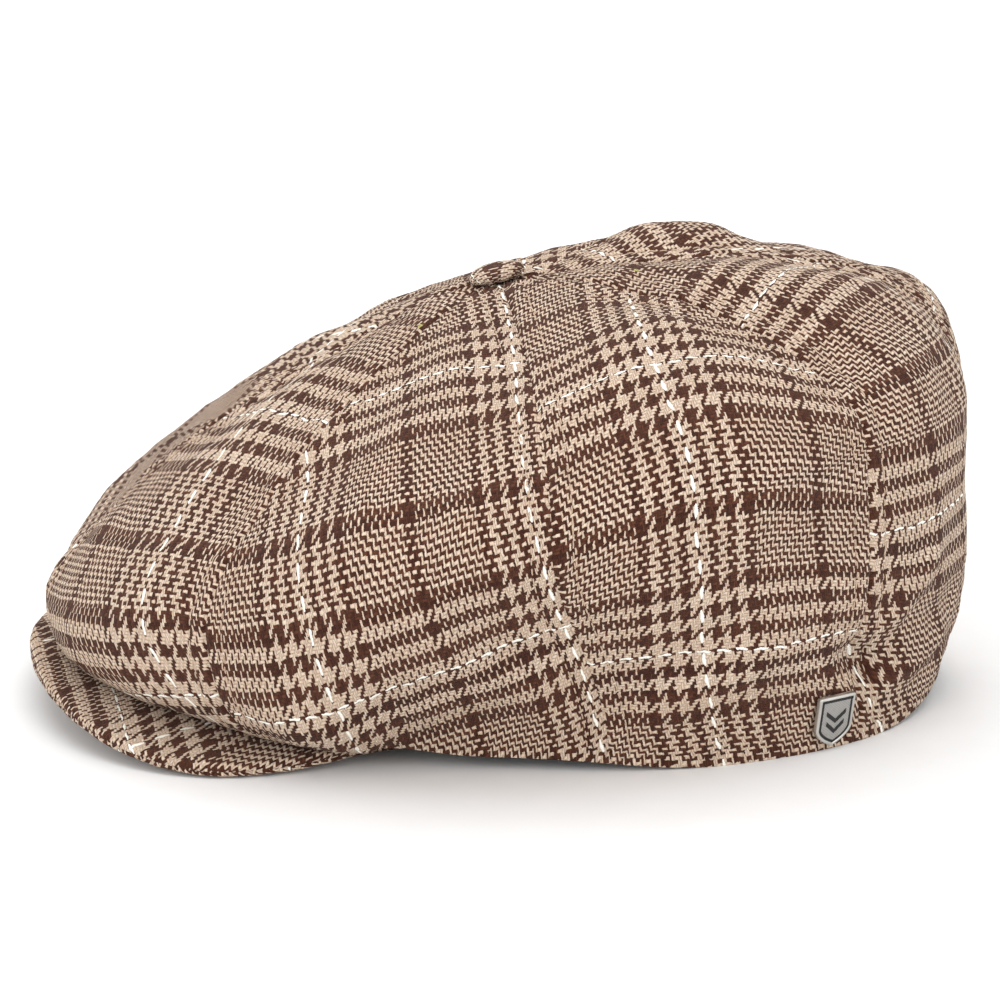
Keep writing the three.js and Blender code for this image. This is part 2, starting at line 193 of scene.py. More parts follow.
def is_over_peak(x, y):
    reach = np.where(y < PEAK_CENTRE_Y, PEAK_REACH, PEAK_RETURN)
    return (x / PEAK_HALF_WIDTH) ** 2 + ((y - PEAK_CENTRE_Y) / reach) ** 2 < PEAK_MARGIN


def share_over_peak(heading):
    """1 where the rim lies over the peak, 0 behind its corners."""
    return ease((75 - turn_from_front(heading)) / 12)


def share_lying(heading):
    """1 where the crown lies on the peak, 0 at the sides and back."""
    return ease((88 - turn_from_front(heading)) / 38)


def rim_height(heading):
    turn = turn_from_front(heading)
    rise = FRONT_RIM_RISE * ease((108 - turn) / 30) + NAPE_RIM_RISE * ease((turn - 138) / 42)
    on_peak = peak_top_z(RIM_HALF_WIDTH * np.sin(heading)) + CROWN_LIFT
    return mix(rise, on_peak, share_over_peak(heading))


def rim_point(heading, offset=0.0):
    """The rim's plan, or a line at an offset outside it."""
    x = (RIM_HALF_WIDTH + offset) * np.sin(heading)
    y = -(RIM_HALF_LENGTH + offset) * np.cos(heading)
    return x, y


def widest_point(heading):
    """The line where the crown is widest."""
    drift = heading
    for times, size in enumerate(SEAM_DRIFT, 1):
        drift = drift + size * np.sin(times * heading)
    x = CROWN_HALF_WIDTH * np.sin(drift)
    y = CROWN_CENTRE_Y - CROWN_HALF_LENGTH * np.cos(drift)
    z = WIDE_HEIGHT - WIDE_TILT * np.cos(heading) - WIDE_SAG * np.cos(2 * heading)
    return np.stack([x, y, z], -1)


def fold_point(heading):
    """The crown's foot, where the cloth folds under to the rim: it lies on the peak in front."""
    lying = share_lying(heading)
    spread = np.radians(np.minimum(LYING_SPREAD * turn_from_front(heading), LYING_SPREAD_LIMIT))
    size = 1 - LYING_PINCH * np.sin(2 * spread) ** 2
    side = np.sign(np.sin(heading))
    rim_x, rim_y = rim_point(heading)
    hem_x = rim_x + TURNED_HEM * np.sin(heading)
    hem_y = rim_y - TURNED_HEM * np.cos(heading)
    x = mix(hem_x, side * LYING_HALF_WIDTH * size * np.sin(spread), lying)
    y = mix(hem_y, LYING_CENTRE_Y - LYING_REACH * size * np.cos(spread), lying)
    z = mix(rim_height(heading), peak_top_z(x) + CROWN_LIFT, lying)
    return np.stack([x, y, z], -1)


def crown_point(heading, travel):
    """The crown's smooth outer surface."""
    heading, travel = np.broadcast_arrays(np.asarray(heading, float), np.asarray(travel, float))
    forward = np.cos(heading)
    lying = share_lying(heading)
    wide = widest_point(heading)
    fold = fold_point(heading)
    rim = np.stack([*rim_point(heading), rim_height(heading)], -1)
    apex = np.array([0.0, APEX_Y, APEX_Z])

    top = np.clip(travel / SHOULDER_TRAVEL, 0, 1)[..., None]
    reach = (DOME_REACH + DOME_REACH_TILT * forward)[..., None]
    first = mix(apex, wide, reach)
    first[..., 2] = APEX_Z - APEX_SLOPE * forward
    second = wide.copy()
    second[..., 2] += SHOULDER_HEIGHT - SHOULDER_TILT * forward
    dome = bezier(apex, first, second, wide, top)

    down = np.clip((travel - SHOULDER_TRAVEL) / (FOLD_TRAVEL - SHOULDER_TRAVEL), 0, 1)[..., None]
    tuck = mix(WALL_TUCK + WALL_TUCK_BACK * np.maximum(-forward, 0), WALL_TUCK_LYING, lying)
    third = wide.copy()
    third[..., 2] -= (wide[..., 2] - fold[..., 2]) * tuck
    fourth = mix(fold, wide, (LEVEL_ENTRY * lying)[..., None])
    fourth[..., 2] = fold[..., 2] + WALL_HEIGHT * (1 - lying)
    wall = bezier(wide, third, fourth, fold, down)

    under = np.clip((travel - FOLD_TRAVEL) / (1 - FOLD_TRAVEL), 0, 1)[..., None]
    hem = mix(fold, rim, under)

    along = travel[..., None]
    point = np.where(along < SHOULDER_TRAVEL, dome, np.where(along < FOLD_TRAVEL, wall, hem))
    puffed = np.sin(math.pi * np.minimum(travel / FOLD_TRAVEL, 1))
    puff = GORE_PUFF * 0.5 * (1 - np.cos(GORES * heading)) * puffed
    outward = unit(point - np.array([0.0, CROWN_CENTRE_Y, PUFF_CENTRE_Z]))
    return point + outward * puff[..., None]


def kept_off_peak(points):
    """Lifts what would sink into the peak or the ground."""
    x, y = points[..., 0], points[..., 1]
    z = np.maximum(points[..., 2], GROUND_GAP)
    lifted = np.where(is_over_peak(x, y), np.maximum(z, peak_top_z(x) + CROWN_LIFT), z)
    return np.stack([x, y, lifted], -1)


PROBE = 0.004  # step for slopes of a surface, in radians and in travel


def slopes(surface, heading, travel):
    """The surface's directions along heading and down travel."""
    low = np.maximum(travel - PROBE, 0)
    high = np.minimum(travel + PROBE, 1)
    across = (surface(heading + PROBE, travel) - surface(heading - PROBE, travel)) / (2 * PROBE)
    down = surface(heading, high) - surface(heading, low)
    return across, down


def crown_frame(heading, travel):
    """The smooth crown's point, outward normal and millimetres per radian of heading."""
    across, down = slopes(crown_point, heading, travel)
    normal = unit(np.cross(down, across))
    return crown_point(heading, travel), normal, np.linalg.norm(across, axis=-1)


# ---- What the sewn cloth does to the crown's surface ----
class Fold:
    """A soft ridge, or a hollow where the height is negative, along a line on the crown."""

    def __init__(self, start, end, height, width):
        steps = np.linspace(0, 1, 9)
        heading = np.radians(mix(start[0], end[0], steps))
        travel = mix(start[1], end[1], steps)
        self.line = crown_point(heading, travel)
        self.height = height
        self.width = width

    def relief(self, points):
        nearest = np.full(points.shape[:-1], np.inf)
        for a, b in zip(self.line[:-1], self.line[1:]):
            span = b - a
            share = np.clip((points - a) @ span / (span @ span), 0, 1)
            away = np.linalg.norm(points - a - share[..., None] * span, axis=-1)
            nearest = np.minimum(nearest, away)
        return self.height * bell(nearest, self.width)


# (heading in degrees, travel) of each end, height and width in millimetres
FOLDS = [
    Fold((212, 0.20), (203, 0.235), 4.4, 14),  # hump of the far rear gores
    Fold((206, 0.30), (198, 0.37), -5.0, 14),  # and the hollow behind it
    Fold((194, 0.44), (188, 0.47), 1.6, 12),
    Fold((158, 0.30), (166, 0.38), 1.4, 16),  # hump of the near rear gore
    Fold((248, 0.20), (292, 0.20), -2.6, 16),  # the far side has sunk a little
    Fold((133, 0.20), (136, 0.44), -2.8, 12),  # valley at the top of the left rear seam
    Fold((228, 0.22), (224, 0.44), -2.4, 12),
    Fold((160, 0.50), (172, 0.52), -2.0, 13),  # the back is flat above and full below
    Fold((172, 0.64), (188, 0.70), 3.2, 18),
    Fold((166, 0.77), (184, 0.80), 2.4, 12),
    Fold((135, 0.735), (136, 0.765), -5.5, 9),  # dent in the left rear seam
    Fold((137, 0.71), (150, 0.64), 2.2, 6),  # ridges that run up and back from the dent
    Fold((138, 0.79), (158, 0.76), 1.8, 5),
    Fold((146, 0.70), (163, 0.71), -1.6, 6),
    Fold((150, 0.82), (170, 0.78), -1.2, 5),
    Fold((100, 0.78), (118, 0.70), 1.2, 9),
    Fold((84, 0.80), (74, 0.66), 1.1, 9),
    Fold((62, 0.79), (52, 0.70), 1.0, 8),
    Fold((0, 0.10), (0, 0.24), -1.8, 18),  # dip in front of the button
    Fold((180, 0.08), (180, 0.16), -2.6, 15),  # and behind it
    Fold((222, 0.76), (208, 0.68), 2.2, 7),
    Fold((226, 0.74), (226, 0.78), -4.0, 9),
    Fold((250, 0.78), (262, 0.68), 1.4, 9),
    Fold((298, 0.78), (306, 0.68), 1.2, 9),
]


# Heights over the smooth crown, in millimetres
SEAM_GROOVE = -0.45
SEAM_ALLOWANCE = 0.35
STITCH_PINCH = -0.22
SEAM_PUCKER = 0.22
BILLOW = 1.1
SMALL_BILLOW = 0.45
GATHER = 0.35
GATHERS = 24
UNEVENNESS = 0.16


def seam_distance(heading, per_radian):
    """Millimetres to the nearest gore seam."""
    part = np.mod(heading / GORE_ANGLE, 1)
    return np.minimum(part, 1 - part) * GORE_ANGLE * per_radian


def seam_relief(distance, travel, points, per_radian):
    """The seam's groove, its pressed-open allowance and the pinch under the topstitching."""
    groove = SEAM_GROOVE * bell(distance, 0.6)
    allowance = SEAM_ALLOWANCE * ease((distance - 0.4) / 1.2) * (1 - ease((distance - 5.0) / 1.6))
    pinch = STITCH_PINCH * bell(distance - STITCH_FROM_SEAM, 0.9)
    pucker = SEAM_PUCKER * ripple(points, 9.0, 3) * bell(distance - 5, 4.5)
    room = ease(per_radian * GORE_ANGLE / 26)  # the allowances run together at the apex
    fade = 1 - ease((travel - 0.84) / 0.03)
    return (groove + (allowance + pinch + pucker) * fade) * room


def badge_shadow(points):
    """0 behind the badge, where the cloth is held flat, and 1 away from it."""
    centre = crown_point(BADGE_HEADING, BADGE_TRAVEL)
    away = np.linalg.norm(points - centre, axis=-1)
    return ease((away - 7) / 12)


def slack_relief(points, travel):
    """The larger unevenness that the lining follows too."""
    billow = BILLOW * ripple(points, 52.0, 11) + SMALL_BILLOW * ripple(points, 24.0, 12)
    folds = sum(fold.relief(points) for fold in FOLDS)
    calm = ease(travel / 0.08) * (1 - 0.75 * ease((travel - 0.78) / 0.08))
    return (billow * calm + folds * (1 - ease((travel - 0.83) / 0.03))) * badge_shadow(points)


def gathers(heading, points):
    """Small radial creases around the button."""
    away = np.hypot(points[..., 0], points[..., 1] - APEX_Y)
    return GATHER * np.cos(GATHERS * heading + 1.3 * np.sin(5 * heading)) * bell(away - 11, 7)


def cloth_point(heading, travel):
    """The crown's sewn cloth."""
    heading, travel = np.broadcast_arrays(np.asarray(heading, float), np.asarray(travel, float))
    point, normal, per_radian = crown_frame(heading, travel)
    distance = seam_distance(heading, per_radian)
    height = slack_relief(point, travel)
    height = height + seam_relief(distance, travel, point, per_radian)
    height = height + gathers(heading, point)
    height = height + UNEVENNESS * ripple(point, 7.0, 13)
    height = np.where(travel > FOLD_TRAVEL, 0, height)
    return kept_off_peak(point + normal * height[..., None])


def slack_point(heading, travel, depth):
    """A surface at a depth inside the crown, with its folds but without its seams."""
    heading, travel = np.broadcast_arrays(np.asarray(heading, float), np.asarray(travel, float))
    point, normal, _ = crown_frame(heading, travel)
    height = slack_relief(point, travel)
    return point + normal * (height - depth)[..., None]


# ---- Meshes from grids of points ----
def new_piece(name, points, faces, material, body, slot, uvs=None, angle=60, stands_for=None):
    """A mesh object from points in millimetres, with an optional cloth coordinate per point.
    Edges sharper than angle stay sharp, and stands_for is the CAD node that it replaces."""
    mesh = bpy.data.meshes.new(name)
    mesh.from_pydata(to_frame(points).tolist(), [], [tuple(int(i) for i in face) for face in faces])
    mesh.materials.append(material)
    mesh.polygons.foreach_set("use_smooth", np.ones(len(mesh.polygons), bool))
    if uvs is not None:
        layer = mesh.uv_layers.new(name="cloth")
        corners = np.zeros(len(mesh.loops), np.int32)
        mesh.loops.foreach_get("vertex_index", corners)
        layer.data.foreach_set("uv", np.asarray(uvs, np.float32)[corners].ravel())
    mesh.update()
    mesh.validate()
    mesh.set_sharp_from_angle(angle=math.radians(angle))
    piece = bpy.data.objects.new(name, mesh)
    bpy.context.scene.collection.objects.link(piece)
    if body:
        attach(piece, body)
    if stands_for:
        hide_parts(stands_for)
    return piece


def new_sheet(name, outer, inner, uvs, material, body, slot, stands_for=None):
    """A closed sheet between two grids of points, with one grid of cloth coordinates for both."""
    points, faces = shell_mesh(outer, inner)
    uvs = uvs.reshape(-1, 2)
    both = np.concatenate([uvs, uvs])
    faces = facing_out(points, faces)
    return new_piece(name, points, faces, material, body, slot, both, stands_for=stands_for)


def grid_faces(columns, rows, start=0, flip=False):
    """Quads over a grid of columns of points."""
    index = start + np.arange(columns * rows).reshape(columns, rows)
    a, b = index[:-1, :-1], index[1:, :-1]
    c, d = index[1:, 1:], index[:-1, 1:]
    quads = np.stack([a, b, c, d], -1).reshape(-1, 4)
    return quads[:, ::-1] if flip else quads


def grid_normals(grid):
    """A unit normal at each point, on the side that the grid's two directions give."""
    across = np.gradient(grid, axis=0)
    down = np.gradient(grid, axis=1)
    return unit(np.cross(down, across))


def shell_mesh(outer, inner):
    """A closed sheet between two grids, outer facing out."""
    columns, rows = outer.shape[:2]
    count = columns * rows
    points = np.concatenate([outer.reshape(-1, 3), inner.reshape(-1, 3)])
    front = grid_faces(columns, rows, 0, flip=True)
    back = grid_faces(columns, rows, count)
    index = np.arange(count).reshape(columns, rows)
    border = np.concatenate([index[:, 0], index[-1, 1:], index[-2::-1, -1], index[0, -2:0:-1]])
    following = np.roll(border, -1)
    walls = np.stack([border, following, following + count, border + count], -1)
    return points, np.concatenate([front, back, walls])


def swept_mesh(rings):
    """Closed rings of points joined one to the next and back to the first."""
    count, size = rings.shape[:2]
    index = np.arange(count * size).reshape(count, size)
    following = np.roll(index, -1, 0)
    a, b = index, np.roll(index, -1, 1)
    c, d = np.roll(following, -1, 1), following
    quads = np.stack([a, b, c, d], -1).reshape(-1, 4)
    return rings.reshape(-1, 3), quads


def joined(parts):
    """One mesh from several, each given as its points and its faces."""
    points, faces = [], []
    start = 0
    for part_points, part_faces in parts:
        points.append(part_points)
        faces += [tuple(i + start for i in face) for face in part_faces]
        start += len(part_points)
    return np.concatenate(points), faces


def facing_out(points, faces):
    """Turns the faces over if they enclose their volume inside out."""
    corners = points[faces]
    centre = points.mean(0)
    a, b, c, d = (corners[:, i] - centre for i in range(4))
    volume = np.einsum("ij,ij->", a, np.cross(b, c)) + np.einsum("ij,ij->", a, np.cross(c, d))
    return faces if volume > 0 else faces[:, ::-1]


# ---- Lines of points ----
def lengths_along(path):
    """The distance walked to each point of a line."""
    return np.concatenate([[0], np.cumsum(np.linalg.norm(np.diff(path, axis=0), axis=1))])


def read_along(places, lengths, values):
    """Values at some distances along a line, from the values at its points."""
    return np.stack([np.interp(places, lengths, column) for column in values.T], -1)


# ---- Thread ----
STITCH_STEPS = 7


def stitches(starts, ends, middles, normals, radius, sides=6):
    """Short thread loops that dive into the cloth at both ends. All arrays have one row each."""
    steps = np.linspace(0, 1, STITCH_STEPS)
    rings = []
    path = bezier(
        starts[:, None],
        (starts + 2 * middles)[:, None] / 3,
        (ends + 2 * middles)[:, None] / 3,
        ends[:, None],
        steps[None, :, None],
    )
    lift = radius * (2.1 * np.sin(math.pi * steps) ** 0.6 - 1.2)
    path = path + normals[:, None] * lift[None, :, None]
    along = unit(np.gradient(path, axis=1))
    side = unit(np.cross(along, normals[:, None]))
    up = np.cross(side, along)
    girth = radius * np.clip(np.sin(math.pi * np.clip(steps, 0.04, 0.96)) * 3, 0.35, 1)
    for turn in np.linspace(0, 2 * math.pi, sides, endpoint=False):
        rings.append(path + (side * math.cos(turn) + up * math.sin(turn)) * girth[None, :, None])
    tubes = np.stack(rings, 2)
    index = np.arange(tubes[..., 0].size).reshape(tubes.shape[:3])
    a, b = index[:, :-1], index[:, 1:]
    quads = np.stack([a, np.roll(a, -1, 2), np.roll(b, -1, 2), b], -1).reshape(-1, 4)
    return tubes.reshape(-1, 3), [*quads.tolist(), *index[:, 0, ::-1].tolist(), *index[:, -1].tolist()]


def stitched_line(path, normals, pitch, share, radius):
    """Stitches along a dense line of points, share being the stitch's part of the pitch."""
    lengths = lengths_along(path)
    count = int(lengths[-1] / pitch)
    begin = (np.arange(count) + 0.5 - share / 2) * pitch
    middle = begin + share * pitch / 2
    starts = read_along(begin, lengths, path)
    ends = read_along(begin + share * pitch, lengths, path)
    outward = unit(read_along(middle, lengths, normals))
    return stitches(starts, ends, read_along(middle, lengths, path), outward, radius)


# ---- Flat patterns: each gore rolled out to cloth coordinates ----
FLAT_COLUMNS = 17
FLAT_MIDDLE = FLAT_COLUMNS // 2
FLAT_ROWS = 41
FLAT_END = 0.9  # the pattern goes this far in travel, past the fold


def cotangents(flat):
    """Each corner's cotangent in triangles whose corners are given in the plane."""
    weights = np.zeros((len(flat), 3))
    for corner in range(3):
        a = flat[:, (corner + 1) % 3] - flat[:, corner]
        b = flat[:, (corner + 2) % 3] - flat[:, corner]
        area = np.abs(a[:, 0] * b[:, 1] - a[:, 1] * b[:, 0])
        weights[:, corner] = np.maximum((a * b).sum(1) / area, 0.02)
    return weights


def laid_flat(points, triangles):
    """Each triangle's corners in its own plane, the first at the origin and the second east."""
    first = points[triangles[:, 1]] - points[triangles[:, 0]]
    second = points[triangles[:, 2]] - points[triangles[:, 0]]
    length = np.linalg.norm(first, axis=1)
    east = first / length[:, None]
    north = np.cross(unit(np.cross(first, second)), east)
    local = np.zeros((len(triangles), 3, 2))
    local[:, 1, 0] = length
    local[:, 2, 0] = (second * east).sum(1)
    local[:, 2, 1] = (second * north).sum(1)
    return local


def first_pattern(grid):
    """A rough pattern: distances down the gore's middle line and across from it."""
    across = np.cumsum(np.linalg.norm(np.diff(grid, axis=0), axis=-1), 0)
    across = np.concatenate([np.zeros((1, FLAT_ROWS)), across], 0)
    across -= across[FLAT_MIDDLE]
    down = lengths_along(grid[FLAT_MIDDLE])
    return np.stack([across, np.broadcast_to(down, across.shape)], -1).reshape(-1, 2)


def flattened_gore(number, rounds=30):
    """Cloth coordinates in millimetres over a coarse grid of the gore, stretched as little as can
    be: each round turns the triangles to fit the pattern, then fits the pattern to them."""
    heading = np.linspace(number * GORE_ANGLE, (number + 1) * GORE_ANGLE, FLAT_COLUMNS)[:, None]
    grid = crown_point(heading, np.linspace(APEX_TRAVEL, FLAT_END, FLAT_ROWS)[None])
    flat = first_pattern(grid)
    a, b, c, d = grid_faces(FLAT_COLUMNS, FLAT_ROWS).T
    triangles = np.concatenate([np.stack([a, b, c], 1), np.stack([a, c, d], 1)])
    local = laid_flat(grid.reshape(-1, 3), triangles)
    east, north = (flat[triangles[:, corner]] - flat[triangles[:, 0]] for corner in (1, 2))
    if np.mean(east[:, 0] * north[:, 1] - east[:, 1] * north[:, 0]) < 0:
        local[..., 1] *= -1

    weights = cotangents(local)
    starts, ends = triangles[:, [1, 2, 0]], triangles[:, [2, 0, 1]]
    sides = local[:, [1, 2, 0]] - local[:, [2, 0, 1]]
    matrix = np.zeros((len(flat), len(flat)))
    for rows, columns, sign in ((starts, starts, 1), (ends, ends, 1), (starts, ends, -1), (ends, starts, -1)):
        np.add.at(matrix, (rows, columns), sign * weights)
    anchor = 1e6  # holds the first point still
    matrix[0, 0] += anchor
    solver = np.linalg.inv(matrix)
    for _ in range(rounds):
        spread = np.einsum("tc,tcx,tcy->txy", weights, sides, flat[starts] - flat[ends])
        cosine = spread[:, 0, 0] + spread[:, 1, 1]
        sine = spread[:, 0, 1] - spread[:, 1, 0]
        size = np.hypot(cosine, sine)
        cosine, sine = (cosine / size)[:, None], (sine / size)[:, None]
        x = cosine * sides[..., 0] - sine * sides[..., 1]
        y = sine * sides[..., 0] + cosine * sides[..., 1]
        pull = np.stack([x, y], -1) * weights[..., None]
        wanted = np.zeros_like(flat)
        np.add.at(wanted, starts, pull)
        np.add.at(wanted, ends, -pull)
        wanted[0] += anchor * flat[0]
        flat = solver @ wanted
    return hung_straight(flat.reshape(FLAT_COLUMNS, FLAT_ROWS, 2))


def hung_straight(flat):
    """Moves a pattern's apex to the origin and turns its middle line straight down."""
    origin = flat[FLAT_MIDDLE, 0]
    foot = flat[FLAT_MIDDLE, int(FLAT_ROWS * 0.8)] - origin
    foot /= np.linalg.norm(foot)
    turned = (flat - origin) @ np.array([[foot[1], foot[0]], [-foot[0], foot[1]]])
    if turned[-1, FLAT_MIDDLE * 2, 0] < 0:
        turned[..., 0] *= -1
    return turned


def spline_weights(count, positions):
    """Weights that read a smooth curve off evenly spaced samples, past the last one too."""
    place = np.clip(np.asarray(positions, float), 0, None) * (count - 1)
    cell = np.clip(np.floor(place).astype(int), 0, count - 2)
    t = place - cell
    outside = t > 1
    weights = np.zeros((len(place), count))
    rows = np.arange(len(place))
    cubic = [
        -0.5 * t + t**2 - 0.5 * t**3,
        1 - 2.5 * t**2 + 1.5 * t**3,
        0.5 * t + 2 * t**2 - 1.5 * t**3,
        -0.5 * t**2 + 0.5 * t**3,
    ]
    straight = [np.zeros_like(t), 1 - t, t, np.zeros_like(t)]
    for step, (curved, line) in enumerate(zip(cubic, straight)):
        column = np.clip(cell - 1 + step, 0, count - 1)
        np.add.at(weights, (rows, column), np.where(outside, line, curved))
    return weights


# ---- How each gore is cut from the checked cloth ----
END_PITCH = 0.68  # one warp yarn
PICK_PITCH = 0.98  # one weft yarn
ENDS = 115  # warp yarns in one repeat of the check
PICKS = 95  # weft yarns in one repeat
WHITE_YARN = 24.5  # the white yarn's place in each repeat


class Cut(NamedTuple):
    """Where the check falls on a gore: tilt in degrees turns the warp from the gore's middle line,
    across and down place the white yarns, and the rest say how much sewing pulled the cloth."""

    tilt: float
    across: float
    down: float
    wide: float = 1.0
    long: float = 1.0
    bow: float = 0.0
    arc: float = 0.0
    skew: float = 0.0

    def place(self, flat):
        """Cloth coordinates of a gore's flat pattern."""
        u, v = flat[..., 0], flat[..., 1]
        cosine, sine = math.cos(math.radians(self.tilt)), math.sin(math.radians(self.tilt))
        bowed = 10 * self.bow * ((v - 110) / 100) ** 2
        arced = 10 * self.arc * (u / 50) ** 2 + 10 * self.skew * u / 50
        along_pick = self.wide * u * cosine - v * sine + bowed
        along_end = self.long * v * cosine + u * sine + arced
        ends = along_pick - self.across + WHITE_YARN * END_PITCH
        picks = along_end - self.down + WHITE_YARN * PICK_PITCH
        return np.stack([ends, picks], -1)


CUTS = {
    "front_left": Cut(25, 40, 70, skew=-1.2),
    "side_front_left": Cut(17, 17, 51, wide=1.18, long=0.88, bow=1.3, arc=0.1, skew=-0.6),
    "side_rear_left": Cut(-13, 20, 86, bow=-1.8, arc=-0.8, skew=0.2),
    "rear_left": Cut(-4.5, 31, 85, wide=0.96, bow=-2.3, arc=0.2, skew=-0.2),
    "rear_right": Cut(6, 52, 30, bow=1.5),
    "side_rear_right": Cut(11, 8, 12, bow=1.2),
    "side_front_right": Cut(-18, 60, 70, bow=-1.0),
    "front_right": Cut(-24, 26, 40),
}


def gore_name(number):
    is_left = number < GORES // 2
    place = number if is_left else GORES - 1 - number
    return f"{FRONT_TO_REAR[place]}_{'left' if is_left else 'right'}"


# ---- Shader nodes ----
class Graph:
    """Builds one material's nodes."""

    def __init__(self, name):
        self.material = bpy.data.materials.new(name)
        self.material.use_nodes = True
        self.nodes = self.material.node_tree.nodes
        self.links = self.material.node_tree.links
        self.nodes.clear()
        output = self.nodes.new("ShaderNodeOutputMaterial")
        self.shader = self.nodes.new("ShaderNodeBsdfPrincipled")
        self.links.new(self.shader.outputs[0], output.inputs["Surface"])

    def put(self, socket, value):
        if isinstance(value, bpy.types.NodeSocket):
            self.links.new(value, socket)
        elif isinstance(value, tuple) and len(value) == 3 and socket.type == "RGBA":
            socket.default_value = (*value, 1)
        else:
            socket.default_value = value

    def calc(self, operation, a, b=None, c=None, clamp=False):
        node = self.nodes.new("ShaderNodeMath")
        node.operation = operation
        node.use_clamp = clamp
        for socket, value in zip(node.inputs, (a, b, c)):
            if value is not None:
                self.put(socket, value)
        return node.outputs[0]

    add = partialmethod(calc, "ADD")
    sub = partialmethod(calc, "SUBTRACT")
    mul = partialmethod(calc, "MULTIPLY")
    linear = partialmethod(calc, "MULTIPLY_ADD")  # a times b plus c
    below = partialmethod(calc, "LESS_THAN")
    above = partialmethod(calc, "GREATER_THAN")
    mod = partialmethod(calc, "FLOORED_MODULO")
    either = partialmethod(calc, "MAXIMUM")
    floor = partialmethod(calc, "FLOOR")
    size = partialmethod(calc, "ABSOLUTE")
    root = partialmethod(calc, "SQRT")

    def bulge(self, across):
        """1 along a yarn's middle and 0 at its sides; across runs from 0 to 1."""
        centred = self.linear(across, 2.0, -1.0)
        return self.root(self.linear(self.mul(centred, centred), -0.96, 1.0))

    def mix(self, share, a, b):
        node = self.nodes.new("ShaderNodeMix")
        node.data_type = "FLOAT"
        node.clamp_factor = True
        self.put(node.inputs[0], share)
        self.put(node.inputs[2], a)
        self.put(node.inputs[3], b)
        return node.outputs[0]

    def mix_colour(self, share, a, b, blend="MIX"):
        node = self.nodes.new("ShaderNodeMix")
        node.data_type = "RGBA"
        node.blend_type = blend
        node.clamp_factor = True
        self.put(node.inputs[0], share)
        self.put(node.inputs[6], a)
        self.put(node.inputs[7], b)
        return node.outputs[2]

    def shaded(self, colour, shade):
        """A colour made darker or lighter by a number."""
        return self.mix_colour(1.0, colour, self.join(shade, shade, shade), "MULTIPLY")

    def cloth(self):
        """The piece's cloth coordinates, in millimetres."""
        node = self.nodes.new("ShaderNodeUVMap")
        node.uv_map = "cloth"
        return node.outputs[0]

    def place(self):
        """The place in the frame, in metres."""
        node = self.nodes.new("ShaderNodeTexCoord")
        return node.outputs["Object"]

    def split(self, vector):
        node = self.nodes.new("ShaderNodeSeparateXYZ")
        self.put(node.inputs[0], vector)
        return node.outputs

    def join(self, x, y, z=0.0):
        node = self.nodes.new("ShaderNodeCombineXYZ")
        for socket, value in zip(node.inputs, (x, y, z)):
            self.put(socket, value)
        return node.outputs[0]

    def noise(self, vector, scale, detail=2.0, roughness=0.5):
        node = self.nodes.new("ShaderNodeTexNoise")
        self.put(node.inputs["Vector"], vector)
        node.inputs["Scale"].default_value = scale
        node.inputs["Detail"].default_value = detail
        node.inputs["Roughness"].default_value = roughness
        return node.outputs

    def scatter(self, x, y):
        """A random number from 0 to 1 for each pair of whole numbers."""
        node = self.nodes.new("ShaderNodeTexWhiteNoise")
        node.noise_dimensions = "3D"
        self.put(node.inputs["Vector"], self.join(x, y))
        return node.outputs["Value"]

    def bump(self, height, distance, strength=1.0):
        node = self.nodes.new("ShaderNodeBump")
        node.inputs["Strength"].default_value = strength
        node.inputs["Distance"].default_value = distance
        self.put(node.inputs["Height"], height)
        self.links.new(node.outputs[0], self.shader.inputs["Normal"])

    def finish(self, **values):
        for name, value in values.items():
            self.put(self.shader.inputs[name.replace("_", " ")], value)
        return self.material


def srgb(red, green, blue):
    """Linear colour from 0-255 values."""
    parts = []
    for value in (red, green, blue):
        value = value / 255
        parts.append(value / 12.92 if value <= 0.04045 else ((value + 0.055) / 1.055) ** 2.4)
    return tuple(parts)


LIGHT_WOOL = (srgb(210, 185, 161), srgb(228, 208, 187), srgb(201, 172, 151))
DARK_WOOL = (srgb(62, 31, 20), srgb(92, 54, 38))
WHITE_WOOL = srgb(236, 232, 222)


def stripe(g, yarn, repeat, plain_middle):
    """1 on a dark yarn: fours about the white yarn, then every other yarn about a band of six."""
    place = g.mod(yarn, float(repeat))
    from_white = g.size(g.sub(place, WHITE_YARN - 0.5))
    fours = g.above(g.mod(g.sub(from_white, 1.0), 8.0), 3.5)
    from_band = g.size(g.sub(place, plain_middle - 0.5))
    singles = g.above(g.mod(g.sub(from_band, 3.0), 2.0), 0.5)
    band = g.below(from_band, 3.0)
    is_fours = g.below(place, 48.5)
    return g.mix(is_fours, g.either(singles, band), fours)


def white_float(g, yarns, crossings, repeat, half_width, shown):
    """Where a thick white yarn lies on top, as dashes over some of every eight crossings."""
    along = g.mod(crossings, 8.0)
    from_middle = g.linear(along, 2 / shown, -1.0)
    dash = g.floor(g.mul(crossings, 0.125))
    shift = g.linear(g.scatter(dash, 5.0), 0.8, -0.4)
    slant = g.mul(from_middle, g.linear(g.scatter(dash, 9.0), 0.7, -0.35))
    from_yarn = g.sub(g.mod(yarns, float(repeat)), WHITE_YARN)
    across = g.size(g.add(from_yarn, g.add(shift, slant)))
    squared = g.mul(from_middle, from_middle)
    rounding = g.root(g.linear(g.mul(squared, squared), -1.0, 1.0, clamp=True))
    is_white = g.mul(g.below(across, g.mul(rounding, half_width)), g.below(along, shown))
    side = g.mul(across, 1 / half_width)
    round_side = g.root(g.linear(g.mul(side, side), -0.9, 1.0, clamp=True))
    return is_white, g.mul(round_side, g.linear(rounding, 0.45, 0.55))


